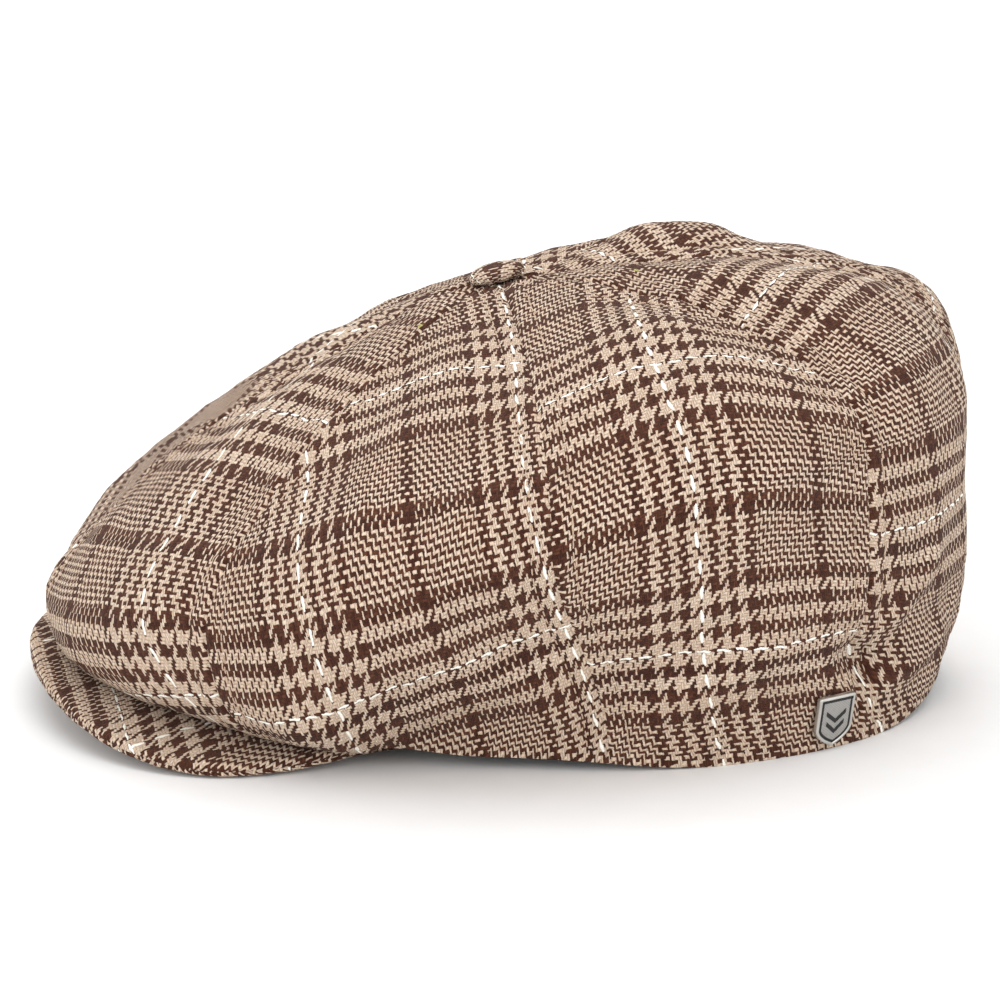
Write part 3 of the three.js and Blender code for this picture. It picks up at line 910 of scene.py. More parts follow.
def tweed():
    """Wool in a 2/2 twill with a glen check in beige and brown, overchecked in white."""
    g = Graph("tweed")
    cloth = g.cloth()
    drift_u, drift_v, _ = g.split(g.noise(cloth, 0.11, 1.0)["Color"])
    jitter_u, jitter_v, _ = g.split(g.noise(cloth, 0.7, 2.0, 0.6)["Color"])
    u, v, _ = g.split(cloth)
    u = g.add(u, g.linear(drift_u, 1.6, -0.8))
    v = g.add(v, g.linear(drift_v, 1.6, -0.8))
    u = g.add(u, g.linear(jitter_u, 0.8, -0.4))
    v = g.add(v, g.linear(jitter_v, 0.9, -0.45))
    diagonal = g.add(g.mul(u, 1 / END_PITCH), g.mul(v, 1 / PICK_PITCH))
    lean = g.calc("COSINE", g.mul(diagonal, math.pi / 2))
    ends = g.mul(g.add(u, g.mul(lean, -0.09)), 1 / END_PITCH)
    picks = g.mul(g.add(v, g.mul(lean, 0.10)), 1 / PICK_PITCH)
    end, pick = g.floor(ends), g.floor(picks)

    warp_on_top = g.below(g.mod(g.add(end, pick), 4.0), 1.5)
    along_warp = g.mul(g.mod(g.add(end, picks), 4.0), 0.5)
    along_weft = g.mul(g.sub(g.mod(g.add(ends, pick), 4.0), 2.0), 0.5)
    along = g.mix(warp_on_top, along_weft, along_warp)
    across = g.mix(warp_on_top, g.sub(picks, pick), g.sub(ends, end))
    arch = g.calc("SINE", g.mul(along, math.pi), clamp=True)
    height = g.mul(g.bulge(across), g.linear(arch, 0.55, 0.4))

    dark_end = stripe(g, end, ENDS, 82.0)
    dark_pick = stripe(g, pick, PICKS, 74.0)
    is_dark = g.mix(warp_on_top, dark_pick, dark_end)

    yarn = g.mix(warp_on_top, g.scatter(7.0, pick), g.scatter(end, 3.0))
    float_shade = g.scatter(g.floor(g.mul(g.add(end, pick), 0.25)), g.sub(end, pick))
    fibre = g.noise(g.join(g.mul(u, 3.2), g.mul(v, 2.2)), 1.0, 3.0, 0.65)["Fac"]
    patch = g.noise(cloth, 0.045, 2.0)["Fac"]
    light = g.mix_colour(yarn, LIGHT_WOOL[0], LIGHT_WOOL[1])
    light = g.mix_colour(g.mul(float_shade, 0.55), light, LIGHT_WOOL[2])
    dark = g.mix_colour(yarn, DARK_WOOL[0], DARK_WOOL[1])
    colour = g.mix_colour(is_dark, light, dark)
    nep = g.scatter(g.floor(g.mul(ends, 0.5)), g.floor(g.mul(picks, 0.5)))
    colour = g.mix_colour(g.above(nep, 0.9997), colour, srgb(184, 180, 112))

    warp_white, warp_height = white_float(g, ends, picks, ENDS, 0.82, 4.6)
    weft_white, weft_height = white_float(g, picks, g.add(ends, 2.0), PICKS, 0.44, 5.6)
    white = g.either(warp_white, weft_white)
    white_height = g.either(g.mul(warp_white, warp_height), g.mul(weft_white, weft_height))
    colour = g.mix_colour(white, colour, WHITE_WOOL)
    height = g.either(g.mul(height, g.sub(1.0, g.mul(white, 0.4))), g.mul(white_height, 1.2))

    # painted shade: the colour darkens with each yarn's height, at a yarn's sides, in the gaps between yarns
    # and where a float dives under; the fibre and patch noise add random tone
    shade = g.linear(height, 0.62, 0.5)
    shade = g.mul(shade, g.linear(fibre, 0.6, 0.7))
    shade = g.mul(shade, g.linear(patch, 0.2, 0.9))
    colour = g.shaded(colour, shade)
    rough = g.linear(fibre, 0.2, 0.8)
    rise = g.add(height, g.mul(fibre, 0.7))
    g.bump(rise, 0.00034)
    g.shader.inputs["Sheen Weight"].default_value = 0.06
    g.shader.inputs["Sheen Roughness"].default_value = 0.6
    g.shader.inputs["Sheen Tint"].default_value = (1.0, 0.93, 0.85, 1)
    g.shader.inputs["Specular IOR Level"].default_value = 0.1
    return g.finish(Base_Color=colour, Roughness=rough)


def plain_weave(name, colour, pitch, gap_shade, roughness, sheen=0.1, twill=0):
    """A plain or twilled cloth in one colour, with fine yarns."""
    g = Graph(name)
    cloth = g.cloth()
    u, v, _ = g.split(cloth)
    ends, picks = g.mul(u, 1 / pitch), g.mul(v, 1 / pitch)
    end, pick = g.floor(ends), g.floor(picks)
    period = 4.0 if twill else 2.0
    over = g.below(g.mod(g.sub(end, pick), period), period / 2 - 0.5)
    across = g.mix(over, g.sub(picks, pick), g.sub(ends, end))
    height = g.bulge(across)
    yarn = g.mix(over, g.scatter(1.0, pick), g.scatter(end, 2.0))
    mottle = g.noise(cloth, 0.08, 3.0)["Fac"]
    # painted shade: the colour darkens towards each yarn's sides and in the gaps between yarns; yarn and
    # mottle add random tone
    shade = g.linear(height, gap_shade, 1 - gap_shade)
    shade = g.mul(shade, g.linear(yarn, 0.3, 0.85))
    shade = g.mul(shade, g.linear(mottle, 0.5, 0.75))
    tinted = g.shaded(colour, shade)
    g.bump(height, pitch * 0.25 * MM)
    g.shader.inputs["Sheen Weight"].default_value = sheen
    rough = g.linear(mottle, 0.15, roughness - 0.07)
    return g.finish(Base_Color=tinted, Roughness=rough)


def thread(name, colour):
    """Twisted sewing thread."""
    g = Graph(name)
    place = g.place()
    twist = g.noise(place, 2600.0, 2.0)["Fac"]
    shade = g.linear(twist, 0.6, 0.7)
    tinted = g.shaded(colour, shade)
    g.bump(twist, 0.00008)
    return g.finish(Base_Color=tinted, Roughness=g.linear(twist, 0.2, 0.6))


def metal(name, dark, light, roughness, scale, metallic=1.0):
    """Cast or stamped metal, darker and lighter in soft random patches, and scratched."""
    g = Graph(name)
    place = g.place()
    grain = g.noise(place, scale, 4.0, 0.6)["Fac"]
    cloud = g.noise(place, scale * 0.12, 2.0)["Fac"]
    colour = g.mix_colour(g.linear(cloud, 1.6, -0.3, clamp=True), dark, light)
    rough = g.linear(grain, 0.25, roughness)
    g.bump(grain, 0.00004)
    g.shader.inputs["Metallic"].default_value = metallic
    return g.finish(Base_Color=colour, Roughness=rough)


def hatched_metal():
    """The badge's sunk field: dark metal under fine slanting lines."""
    g = Graph("badge_field")
    x, y, z = g.split(g.place())
    slant = g.mul(g.add(g.mul(z, 0.8), g.sub(x, y)), 2 * math.pi / 0.0009)
    line = g.linear(g.calc("SINE", slant), 0.5, 0.5)
    grain = g.noise(g.place(), 900.0, 3.0)["Fac"]
    share = g.linear(grain, 0.3, g.mul(line, 0.7))
    colour = g.mix_colour(share, srgb(128, 126, 123), srgb(202, 200, 196))
    g.bump(line, 0.0001)
    g.shader.inputs["Metallic"].default_value = 0.85
    return g.finish(Base_Color=colour, Roughness=g.linear(grain, 0.2, 0.4))


def fibre_board():
    """Pressed brown fibres."""
    g = Graph("fibre_board")
    fibre = g.noise(g.place(), 420.0, 5.0, 0.7)["Fac"]
    colour = g.mix_colour(fibre, srgb(104, 84, 60), srgb(168, 146, 112))
    g.bump(fibre, 0.0001)
    return g.finish(Base_Color=colour, Roughness=g.linear(fibre, 0.2, 0.7))


def pale_floor():
    g = Graph("pale_floor")
    grain = g.noise(g.place(), 60.0, 3.0)["Fac"]
    colour = g.mix_colour(grain, (0.86, 0.86, 0.86), (0.9, 0.9, 0.9))
    return g.finish(Base_Color=colour, Roughness=g.linear(grain, 0.1, 0.8))


TWEED = tweed()
SATIN = plain_weave("lining_satin", srgb(58, 46, 44), 0.16, 0.25, 0.38, 0.3, twill=1)
COTTON = plain_weave("sweatband_cotton", srgb(66, 68, 76), 0.34, 0.45, 0.85, 0.15, twill=1)
CANVAS = plain_weave("rim_canvas", srgb(206, 198, 180), 0.5, 0.5, 0.85)
LABEL = plain_weave("label_weave", srgb(222, 214, 196), 0.22, 0.3, 0.6, 0.2)
SEAM_THREAD = thread("seam_thread", srgb(190, 164, 141))
BAND_THREAD = thread("band_thread", srgb(98, 98, 104))
TIE_THREAD = thread("tie_thread", srgb(98, 68, 56))
PEWTER = metal("pewter", srgb(176, 174, 168), srgb(228, 226, 220), 0.24, 700.0)
DARK_ENAMEL = metal("dark_enamel", srgb(14, 13, 13), srgb(26, 24, 23), 0.5, 900.0, 0.0)
TINPLATE = metal("tinplate", srgb(150, 150, 146), srgb(198, 198, 194), 0.3, 500.0)
FIELD = hatched_metal()
BOARD = fibre_board()


# ---- Crown gores ----
# Columns of points are placed in millimetres from each seam, then evenly over a gore's middle.
EDGE_STEPS = (0, 0.3, 0.6, 0.95, 1.4, 2.0, 2.8, 3.7, 4.6, 5.2, 5.7, 6.2, 6.8, 7.6, 8.8, 10.5, 13, 16)
MIDDLE_COLUMNS = 26
GORE_ROWS = 190
LINING_EDGE_STEPS = (0, 0.4, 0.9, 1.6, 2.6, 4, 6, 9)
LINING_MIDDLE_COLUMNS = 14
LINING_ROWS = 70
FOLD_ROUNDING = 0.012  # how far from the fold the cloth is rounded, in travel


def gore_headings(number, travel, edge_steps, middle):
    """Columns of headings for each travel: close together at the seams, even in between."""
    width = crown_frame(np.full_like(travel, (number + 0.5) * GORE_ANGLE), travel)[2] * GORE_ANGLE
    share = np.linspace(0, 0.5, len(edge_steps) + middle // 2)
    columns = []
    for place, even in enumerate(share):
        if place < len(edge_steps):
            near = np.minimum(edge_steps[place] / width, even)
        else:
            last = np.minimum(edge_steps[-1] / width, share[len(edge_steps) - 1])
            beyond = (place - len(edge_steps) + 1) / (len(share) - len(edge_steps))
            near = mix(last, 0.5, beyond)
        columns.append(near)
    half = np.stack(columns)
    full = np.concatenate([half, 1 - half[-2::-1]])
    return (number + full) * GORE_ANGLE


def gore_travels(rows, end):
    """Rows down a gore, closer together at the fold of its foot."""
    even = np.linspace(0, 1, rows)
    travel = mix(APEX_TRAVEL, end, even)
    if end <= FOLD_TRAVEL:
        return travel
    near_fold = FOLD_TRAVEL + FOLD_ROUNDING * np.array([-1, -0.5, -0.25, 0, 0.25, 0.5, 1])
    return np.unique(np.round(np.concatenate([travel, near_fold]), 5))


def rounded_fold(grid, travel, rounds=10):
    """Rounds the sharp turn where the cloth folds under."""
    share = bell(travel - FOLD_TRAVEL, FOLD_ROUNDING)[None, 1:-1, None] * 0.5
    for _ in range(rounds):
        between = (grid[:, :-2] + grid[:, 2:]) / 2
        grid[:, 1:-1] = mix(grid[:, 1:-1], between, share)
    return grid


def cloth_uvs(flat, number, name, heading, travel):
    """Cloth coordinates at each point of a gore's grid."""
    part = heading / GORE_ANGLE - number
    is_mirrored = number >= GORES // 2
    down = spline_weights(FLAT_ROWS, (travel - APEX_TRAVEL) / (FLAT_END - APEX_TRAVEL))
    rows = np.einsum("ruk,vr->vuk", flat.transpose(1, 0, 2), down)
    placed = np.zeros((*part.shape, 2))
    for row in range(len(travel)):
        share = 1 - part[:, row] if is_mirrored else part[:, row]
        placed[:, row] = spline_weights(FLAT_COLUMNS, share) @ rows[row]
    if is_mirrored:
        placed[..., 0] *= -1
    return CUTS[name].place(placed)


def make_gore(number, flat):
    name = gore_name(number)
    travel = gore_travels(GORE_ROWS, 1.0)
    heading = gore_headings(number, travel, EDGE_STEPS, MIDDLE_COLUMNS)
    outer = cloth_point(heading, travel[None])
    outer = rounded_fold(outer, travel)
    outer = kept_off_peak(outer)
    inner = outer - grid_normals(outer) * SHELL_THICKNESS
    inner[..., 2] = np.maximum(inner[..., 2], 2 * GROUND_GAP)
    uvs = cloth_uvs(flat, number, name, heading, travel)
    new_sheet(f"panel_{name}", outer, inner, uvs, TWEED, "crown", "tweed", f"crown_panel_{name}")


def make_lining(number, flat):
    name = gore_name(number)
    travel = gore_travels(LINING_ROWS, LINING_END)
    heading = gore_headings(number, travel, LINING_EDGE_STEPS, LINING_MIDDLE_COLUMNS)
    point, _, per_radian = crown_frame(heading, travel[None])
    distance = seam_distance(heading, per_radian)
    pinch = 0.5 * bell(distance, 1.2) - 0.25 * ripple(point, 13.0, 31)
    pinch = pinch * ease(per_radian / 30)
    outer = slack_point(heading, travel[None], LINING_DEPTH + 0.3 + pinch)
    inner = outer - grid_normals(outer) * LINING_THICKNESS
    uvs = cloth_uvs(flat, number, name, heading, travel)
    node = f"lining_panel_{name}"
    new_sheet(f"lining_{name}", outer, inner, uvs, SATIN, "crown", "lining_satin", node)


def make_gores():
    for number in range(GORES // 2):
        flat = flattened_gore(number)
        for gore in (number, GORES - 1 - number):
            make_gore(gore, flat)
            make_lining(gore, flat)


SEAM_NAMES = ("front", "front_left", "left", "rear_left", "rear", "rear_right", "right", "front_right")
TOPSTITCH_PITCH = 3.3
TOPSTITCH_SHARE = 0.8
TOPSTITCH_RADIUS = 0.22


def make_topstitching():
    """Two rows of stitches along each seam, through the pressed-open allowances."""
    travel = np.linspace(0.10, 0.85, 500)
    for number, name in enumerate(SEAM_NAMES):
        seam = np.full_like(travel, number * GORE_ANGLE)
        per_radian = crown_frame(seam, travel)[2]
        rows = []
        for side in (-1, 1):
            heading = seam + side * STITCH_FROM_SEAM / per_radian
            path = cloth_point(heading, travel)
            across, down = slopes(cloth_point, heading, travel)
            normals = unit(np.cross(down, across))
            rows.append(stitched_line(path, normals, TOPSTITCH_PITCH, TOPSTITCH_SHARE, TOPSTITCH_RADIUS))
        new_piece(f"topstitch_{name}", *joined(rows), SEAM_THREAD, "crown", "thread")


# ---- Peak ----
def peak_plan(u, v, inset):
    """The peak's plan: u from its right corner to its left, v from the rim to its edge."""
    side = 2 * u - 1
    root_x, root_y = rim_point(side * PEAK_CORNER, PEAK_RIM_GAP)
    corner_x = (RIM_HALF_WIDTH + PEAK_RIM_GAP) * math.sin(PEAK_CORNER) + PEAK_CORNER_WIDTH
    turn = side * (math.pi / 2 + math.acos(corner_x / PEAK_HALF_WIDTH))
    reach = np.where(np.abs(turn) < math.pi / 2, PEAK_REACH, PEAK_RETURN)
    edge_x = (PEAK_HALF_WIDTH - inset) * np.sin(turn)
    edge_y = PEAK_CENTRE_Y - (reach - inset) * np.cos(turn)
    return mix(root_x, edge_x, v), mix(root_y, edge_y, v)


PEAK_WHITE = np.array([80.5, -137.0])  # where white yarns cross on the peak's upper cloth
PEAK_UNDER_WHITE = np.array([-30.0, -110.0])  # and on its lower cloth
PEAK_WARP_TURN = math.radians(30)  # the peak's cloth is cut askew and stretched round its edge
PEAK_WEFT_TURN = math.radians(9)
PEAK_COLUMNS = 181
PEAK_ROWS = 44
EDGE_ROWS = 12
EDGE_TURNS = np.linspace(0, math.pi / 2, EDGE_ROWS + 1)[1:]  # a quarter turn round the peak's edge


def peak_layer(depth, is_top):
    """Half of the peak's skin, at a depth inside it: level, then a quarter turn round the edge."""
    u = np.linspace(0, 1, PEAK_COLUMNS)[:, None]
    v = np.linspace(0, 1, PEAK_ROWS)[None]
    half = PEAK_THICKNESS / 2
    radius = half - depth
    x, y = peak_plan(u, v, half)
    level = np.stack([x, y, np.full_like(x, radius)], -1)
    rolled = []
    for turn in EDGE_TURNS:
        pinch = 0.3 * math.exp(-(((turn - math.pi / 2) / 0.25) ** 2))
        x, y = peak_plan(u, np.ones((1, 1)), half - (radius - pinch) * math.sin(turn))
        rolled.append(np.stack([x, y, np.full_like(x, radius * math.cos(turn))], -1))
    grid = np.concatenate([level, *rolled], 1)
    sign = 1 if is_top else -1
    grid[..., 2] = peak_under_z(grid[..., 0]) + half + sign * grid[..., 2]
    return grid


def peak_cloth(grid, crossing):
    """Cloth coordinates over the peak's skin, rolled on past its edge."""
    plan = grid[..., :2].copy()
    outward = unit(plan[:, -1] - plan[:, PEAK_ROWS - 1])
    for row, turn in enumerate(EDGE_TURNS):
        plan[:, PEAK_ROWS + row] = plan[:, PEAK_ROWS - 1] + outward * PEAK_THICKNESS / 2 * turn
    away = plan - crossing
    u = away[..., 0] * math.cos(PEAK_WARP_TURN) + away[..., 1] * math.sin(PEAK_WARP_TURN)
    v = away[..., 1] * math.cos(PEAK_WEFT_TURN) - away[..., 0] * math.sin(PEAK_WEFT_TURN)
    return np.stack([u + WHITE_YARN * END_PITCH, v + WHITE_YARN * PICK_PITCH], -1)


def make_peak_cover(name, node, is_top, crossing):
    outer = peak_layer(0, is_top)
    inner = peak_layer(PEAK_COVER, is_top)
    uneven = 0.12 * ripple(outer, 17.0, 41) + 0.08 * ripple(outer, 6.0, 42)
    fade = ease(np.arange(outer.shape[1]) / 10)[None] if is_top else 1
    normals = grid_normals(outer)
    facing = np.sign(np.mean(normals[..., 2])) * (1 if is_top else -1)
    outer = outer + facing * normals * (uneven * fade - 0.1)[..., None]
    new_sheet(name, outer, inner, peak_cloth(outer, crossing), TWEED, "peak", "tweed", node)


def make_peak():
    make_peak_cover("peak_cloth_top", "peak_top_cover", True, PEAK_WHITE)
    make_peak_cover("peak_cloth_under", "peak_under_cover", False, PEAK_UNDER_WHITE)


# ---- Rim: tape, sweatband and tabs ----
BAND_COLUMNS = 288
BAND_INSIDE = -BAND_GAP - BAND_THICKNESS
BAND_WAVE = 0.5
BAND_DROP = 1.5
BAND_DROP_OVER_PEAK = 2.6
BAND_CLEARANCE = 0.3  # over the ground
TAB_THICKNESS = 0.4


def band_bottom(heading):
    """The sweatband shows a little below the rim, and more over the peak: its dark strip there is partly the
    band and partly painted shade under the rim.
    """
    drop = BAND_DROP + BAND_DROP_OVER_PEAK * share_over_peak(heading)
    return np.maximum(rim_height(heading) - drop, BAND_CLEARANCE)


def tape_bottom(heading):
    return rim_height(heading) + SHELL_THICKNESS + TAPE_GAP


def rim_outward(heading):
    return np.stack([np.sin(heading), -np.cos(heading), 0 * heading], -1)


def band_wave(ring, up, height, depth):
    """How far a band has gone out of true at a height above its lower edge."""
    return depth * ripple(ring, 38.0, 51) * ease(up / height) * ease((height - up) / height + 0.4)


def band_section(half, height):
    """A band's rounded section, as steps outwards and upwards."""
    levels = np.linspace(0, 1, 14)
    turns = np.linspace(0, math.pi, 7)[1:-1]
    section = [(half, half + level * (height - 2 * half)) for level in levels]
    section += [(half * math.cos(turn), height - half + half * math.sin(turn)) for turn in turns]
    section += [(-half, half + level * (height - 2 * half)) for level in levels[::-1]]
    return section + [(-half * math.cos(turn), half - half * math.sin(turn)) for turn in turns]


def make_band(name, node, material, slot, inner, thickness, bottom, height, uneven):
    """A band along the rim. inner is where its inside lies, outwards from the rim."""
    heading = np.linspace(0, 2 * math.pi, BAND_COLUMNS, endpoint=False)
    girth = math.pi * (RIM_HALF_WIDTH + RIM_HALF_LENGTH)
    half = thickness / 2
    rings, uvs = [], []
    for out, up in band_section(half, height):
        x, y = rim_point(heading, inner + half + out)
        ring = np.stack([x, y, bottom(heading) + up], -1)
        rings.append(ring + rim_outward(heading) * band_wave(ring, up, height, uneven)[:, None])
        uvs.append(np.stack([heading / (2 * math.pi) * girth, np.full_like(heading, up + 3 * out)], -1))
    points, faces = swept_mesh(np.stack(rings, 1))
    faces = facing_out(points, faces)
    uvs = np.stack(uvs, 1).reshape(-1, 2)
    new_piece(name, points, faces, material, "crown", slot, uvs, stands_for=node)


def make_band_stitching():
    """A row of stitches near each edge of the sweatband, on its inside."""
    heading = np.linspace(0, 2 * math.pi, 1500)
    outward = rim_outward(heading)
    rows = []
    for rise in (2.6, BAND_HEIGHT - 2.2):
        x, y = rim_point(heading, BAND_INSIDE + 0.05)
        ring = np.stack([x, y, band_bottom(heading) + rise], -1)
        path = ring + outward * band_wave(ring, rise, BAND_HEIGHT, BAND_WAVE)[:, None]
        rows.append(stitched_line(path, -outward, 3.0, 0.72, 0.2))
    new_piece("sweatband_stitching", *joined(rows), BAND_THREAD, "crown", "thread")


def make_rim():
    make_band("sweatband_cloth", "sweatband", COTTON, "sweatband_cotton",
              BAND_INSIDE, BAND_THICKNESS, band_bottom, BAND_HEIGHT, BAND_WAVE)
    make_band("rim_tape_cloth", "rim_tape", CANVAS, "rim_canvas",
              TAPE_GAP, TAPE_THICKNESS, tape_bottom, TAPE_HEIGHT, 0.0)
    make_band_stitching()


def make_tab(name, node, heading_degrees, width, height, top_drop):
    """A small blank woven tab that hangs inside the sweatband, sewn in along its top."""
    heading = math.radians(heading_degrees)
    columns = np.linspace(-1, 1, 15)[:, None] * width / 2
    rows = np.linspace(0, 1, 11)[None]
    top = band_bottom(heading) + BAND_HEIGHT - top_drop
    turn = heading + columns / RIM_HALF_LENGTH
    stand_off = 0.4 + 0.5 * rows**2
    grids = []
    for thickness in (0.0, TAB_THICKNESS):
        x, y = rim_point(turn, BAND_INSIDE - stand_off - thickness)
        grids.append(np.stack([x, y, np.broadcast_to(top - rows * height, x.shape)], -1))
    uvs = np.stack(np.broadcast_arrays(columns, rows * height), -1)
    new_sheet(name, *grids, uvs, LABEL, "crown", "woven_label", node)


def make_crown_label():
    """A blank patch sewn to the lining behind the apex."""
    heading = np.radians(np.linspace(162, 198, 25))[:, None]
    travel = np.linspace(0.16, 0.26, 17)[None]
    depth = LINING_DEPTH + LINING_THICKNESS + 0.7
    outer = slack_point(heading, travel, depth)
    inner = slack_point(heading, travel, depth + 0.5)
    width = np.linalg.norm(outer[0] - outer[-1], axis=-1)
    u = np.linspace(-0.5, 0.5, 25)[:, None] * width[None]
    v = np.broadcast_to(np.linspace(0, 20, 17)[None], u.shape)
    uvs = np.stack([u, v], -1)
    new_sheet("crown_patch", outer, inner, uvs, LABEL, "crown", "woven_label", "crown_label")


# ---- Button ----
BUTTON_CLOTH = 0.7
BUTTON_ON_CLOTH = 31.0  # where in the check the button's cloth was cut, both ways


def button_frame(points):
    """From the button's own axes to the cap's."""
    cosine, sine = math.cos(BUTTON_TILT), math.sin(BUTTON_TILT)
    x, y, z = points[..., 0], points[..., 1], points[..., 2]
    return np.stack([x, y * cosine - z * sine + APEX_Y, y * sine + z * cosine + APEX_Z], -1)


def make_button():
    """A tin dome covered in the same cloth, gathered underneath."""
    turns = np.linspace(0, 2 * math.pi, 128, endpoint=False)[:, None]
    steps = np.linspace(0, 1, 30)[None]
    height = BUTTON_TOP - BUTTON_BASE
    angle = steps * math.radians(118)
    radius = BUTTON_RADIUS * np.sin(angle) ** 0.86
    z = BUTTON_BASE + height * np.where(np.cos(angle) > 0, np.cos(angle), np.cos(angle) * 0.75)
    tucks = 0.22 * np.cos(18 * turns + np.sin(3 * turns)) * ease((np.degrees(angle) - 62) / 45)
    x = (radius + tucks) * np.cos(turns)
    y = (radius + tucks) * np.sin(turns)
    outer = np.stack([x, y, np.broadcast_to(z, x.shape)], -1)
    outer = np.concatenate([outer, outer[:1]], 0)
    normals = grid_normals(outer)
    facing = np.sign(np.mean((normals * outer).sum(-1)))
    inner = outer - facing * normals * BUTTON_CLOTH
    reach = np.broadcast_to(angle * BUTTON_RADIUS * 0.8, x.shape)
    uvs = np.stack([reach * np.cos(turns), reach * np.sin(turns)], -1) + BUTTON_ON_CLOTH
    uvs = np.concatenate([uvs, uvs[:1]], 0)
    layers = button_frame(outer), button_frame(inner)
    new_sheet("button_cloth", *layers, uvs, TWEED, "crown", "tweed", "button_cover")


# ---- Badge ----
BADGE_FRONT = BADGE_BACK + BADGE_THICKNESS
# Sections as (inset from the outline, drop from the front), in millimetres
BORDER = (
    (0, 0.45), (0.12, 0.2), (0.35, 0.05), (0.6, 0), (0.8, 0.04),
    (0.98, 0.18), (1.08, 0.4), (1.12, 0.62), (2.2, 0.62),
)
FIELD_LINE = ((1.14, 0.62), (1.14, 0.18), (1.24, 0.12), (1.7, 0.12), (1.8, 0.18), (1.8, 0.62))
PRONG_PLACE = 3.5
PRONG_RADIUS = 0.55
PRONG_REACH = 2.3
PRONG_SIDES = 10


def badge_axes():
    """The badge's middle on the crown and its directions: along the rim, up and outward."""
    centre, outward, _ = crown_frame(BADGE_HEADING, np.array(BADGE_TRAVEL))
    across, _ = slopes(crown_point, BADGE_HEADING, np.array(BADGE_TRAVEL))
    along = unit(across)
    return centre, along, np.cross(outward, along), outward


def on_badge(flat, height):
    """Points at a height on the badge, from their places along and up it."""
    centre, along, up, outward = badge_axes()
    flat = np.asarray(flat)
    return centre + flat[..., :1] * along + flat[..., 1:] * up + height * outward


def shield_outline(count=96):
    """A plain shield around the origin: flat top, straight sides, curved to a point."""
    half, top = BADGE_WIDTH / 2, BADGE_HEIGHT / 2
    shoulder = -BADGE_HEIGHT * 0.16
    corner = 0.5
    steps = np.linspace(0, 1, 16)
    curve_x = 2 * steps * (1 - steps) * half * 0.85 + (1 - steps) ** 2 * half
    curve_y = (1 - steps) ** 2 * shoulder + 2 * steps * (1 - steps) * (-top * 0.72) - steps**2 * top
    right = [(0, top), (half - corner, top), (half - corner * 0.3, top - corner * 0.3), (half, top - corner)]
    right += [(half, mix(top - corner, shoulder, s)) for s in (0.33, 0.66)]
    right += list(zip(curve_x, curve_y))
    right = np.array(right)
    left = right[-2:0:-1] * np.array([-1, 1])
    closed = np.concatenate([right, left, right[:1]])
    lengths = lengths_along(closed)
    return read_along(np.linspace(0, lengths[-1], count, endpoint=False), lengths, closed)


def badge_rings(profile):
    """The shield's outline at each inset and height of a profile."""
    outline = shield_outline()
    along = unit(np.roll(outline, -1, 0) - np.roll(outline, 1, 0))
    inward = np.stack([along[:, 1], -along[:, 0]], -1)
    return np.stack([on_badge(outline + inward * inset, height) for inset, height in profile], 1)


def badge_prong(place):
    """One thin round prong from the badge's back through the cloth."""
    centre, along, _, outward = badge_axes()
    foot = centre + place * along
    side = unit(np.cross(outward, np.array([0.0, 0.0, 1.0])))
    up = np.cross(outward, side)
    turns = np.linspace(0, 2 * math.pi, PRONG_SIDES, endpoint=False)[:, None]
    circle = PRONG_RADIUS * (np.cos(turns) * side + np.sin(turns) * up)
    ends = [foot + circle + outward * (BADGE_BACK + 0.3), foot + circle - outward * PRONG_REACH]
    index = np.arange(2 * PRONG_SIDES).reshape(2, PRONG_SIDES)
    following = np.roll(index, -1, 1)
    quads = np.stack([index[0], index[1], following[1], following[0]], -1)
    return np.concatenate(ends), [*quads.tolist(), index[0].tolist(), index[1, ::-1].tolist()]


def make_badge_shield():
    """A cast pewter shield with a raised border. Its prongs go through the cloth."""
    profile = [(0.6, BADGE_BACK), (0.15, BADGE_BACK), (0, BADGE_BACK + 0.15)]
    profile += [(inset, BADGE_FRONT - drop) for inset, drop in BORDER]
    rings = badge_rings(profile)
    index = np.arange(rings[..., 0].size).reshape(rings.shape[:2])
    following = np.roll(index, -1, 0)
    quads = np.stack([index[:, :-1], following[:, :-1], following[:, 1:], index[:, 1:]], -1)
    shield = [*quads.reshape(-1, 4).tolist(), index[::-1, 0].tolist(), index[:, -1].tolist()]
    parts = [(rings.reshape(-1, 3), shield), badge_prong(-PRONG_PLACE), badge_prong(PRONG_PLACE)]
    new_piece("badge_cast", *joined(parts), PEWTER, "crown", "pewter", angle=35, stands_for="badge_shield")


def make_badge_line():
    """A dark line that runs around the field, inside the raised border."""
    points, faces = swept_mesh(badge_rings([(inset, BADGE_FRONT - drop) for inset, drop in FIELD_LINE]))
    faces = facing_out(points, faces)
    new_piece("badge_line", points, faces, DARK_ENAMEL, "crown", "badge_inlay", angle=30)


def chevron(lift, reach):
    """One raised plain chevron that points down: four edges, each bent at its middle."""
    edges = [(-0.95, 0.45), (-0.65, 0.08), (0.65, 0.08), (0.95, 0.45)]
    points = []
    for x, y in ((-reach, 1.2), (0, -1.5), (reach, 1.2)):
        points += [on_badge((x, y + lift + rise), BADGE_FRONT - drop) for rise, drop in edges]
    faces = []
    for a in (0, 4):
        faces += [(a + i, a + 4 + i, a + 4 + (i + 1) % 4, a + (i + 1) % 4) for i in range(4)]
    return np.array(points), faces + [(0, 1, 2, 3), (11, 10, 9, 8)]


def make_chevrons():
    pair = joined([chevron(1.6, 3.6), chevron(-1.7, 3.2)])
    new_piece("badge_chevrons", *pair, DARK_ENAMEL, "crown", "badge_inlay", angle=30)


def make_badge():
    make_badge_shield()
    make_badge_line()
    make_chevrons()


# ---- The strips that join the peak to the rim ----
JOIN_STRIPS = 7
JOIN_HEIGHT = 5.5
JOIN_THICKNESS = 0.5


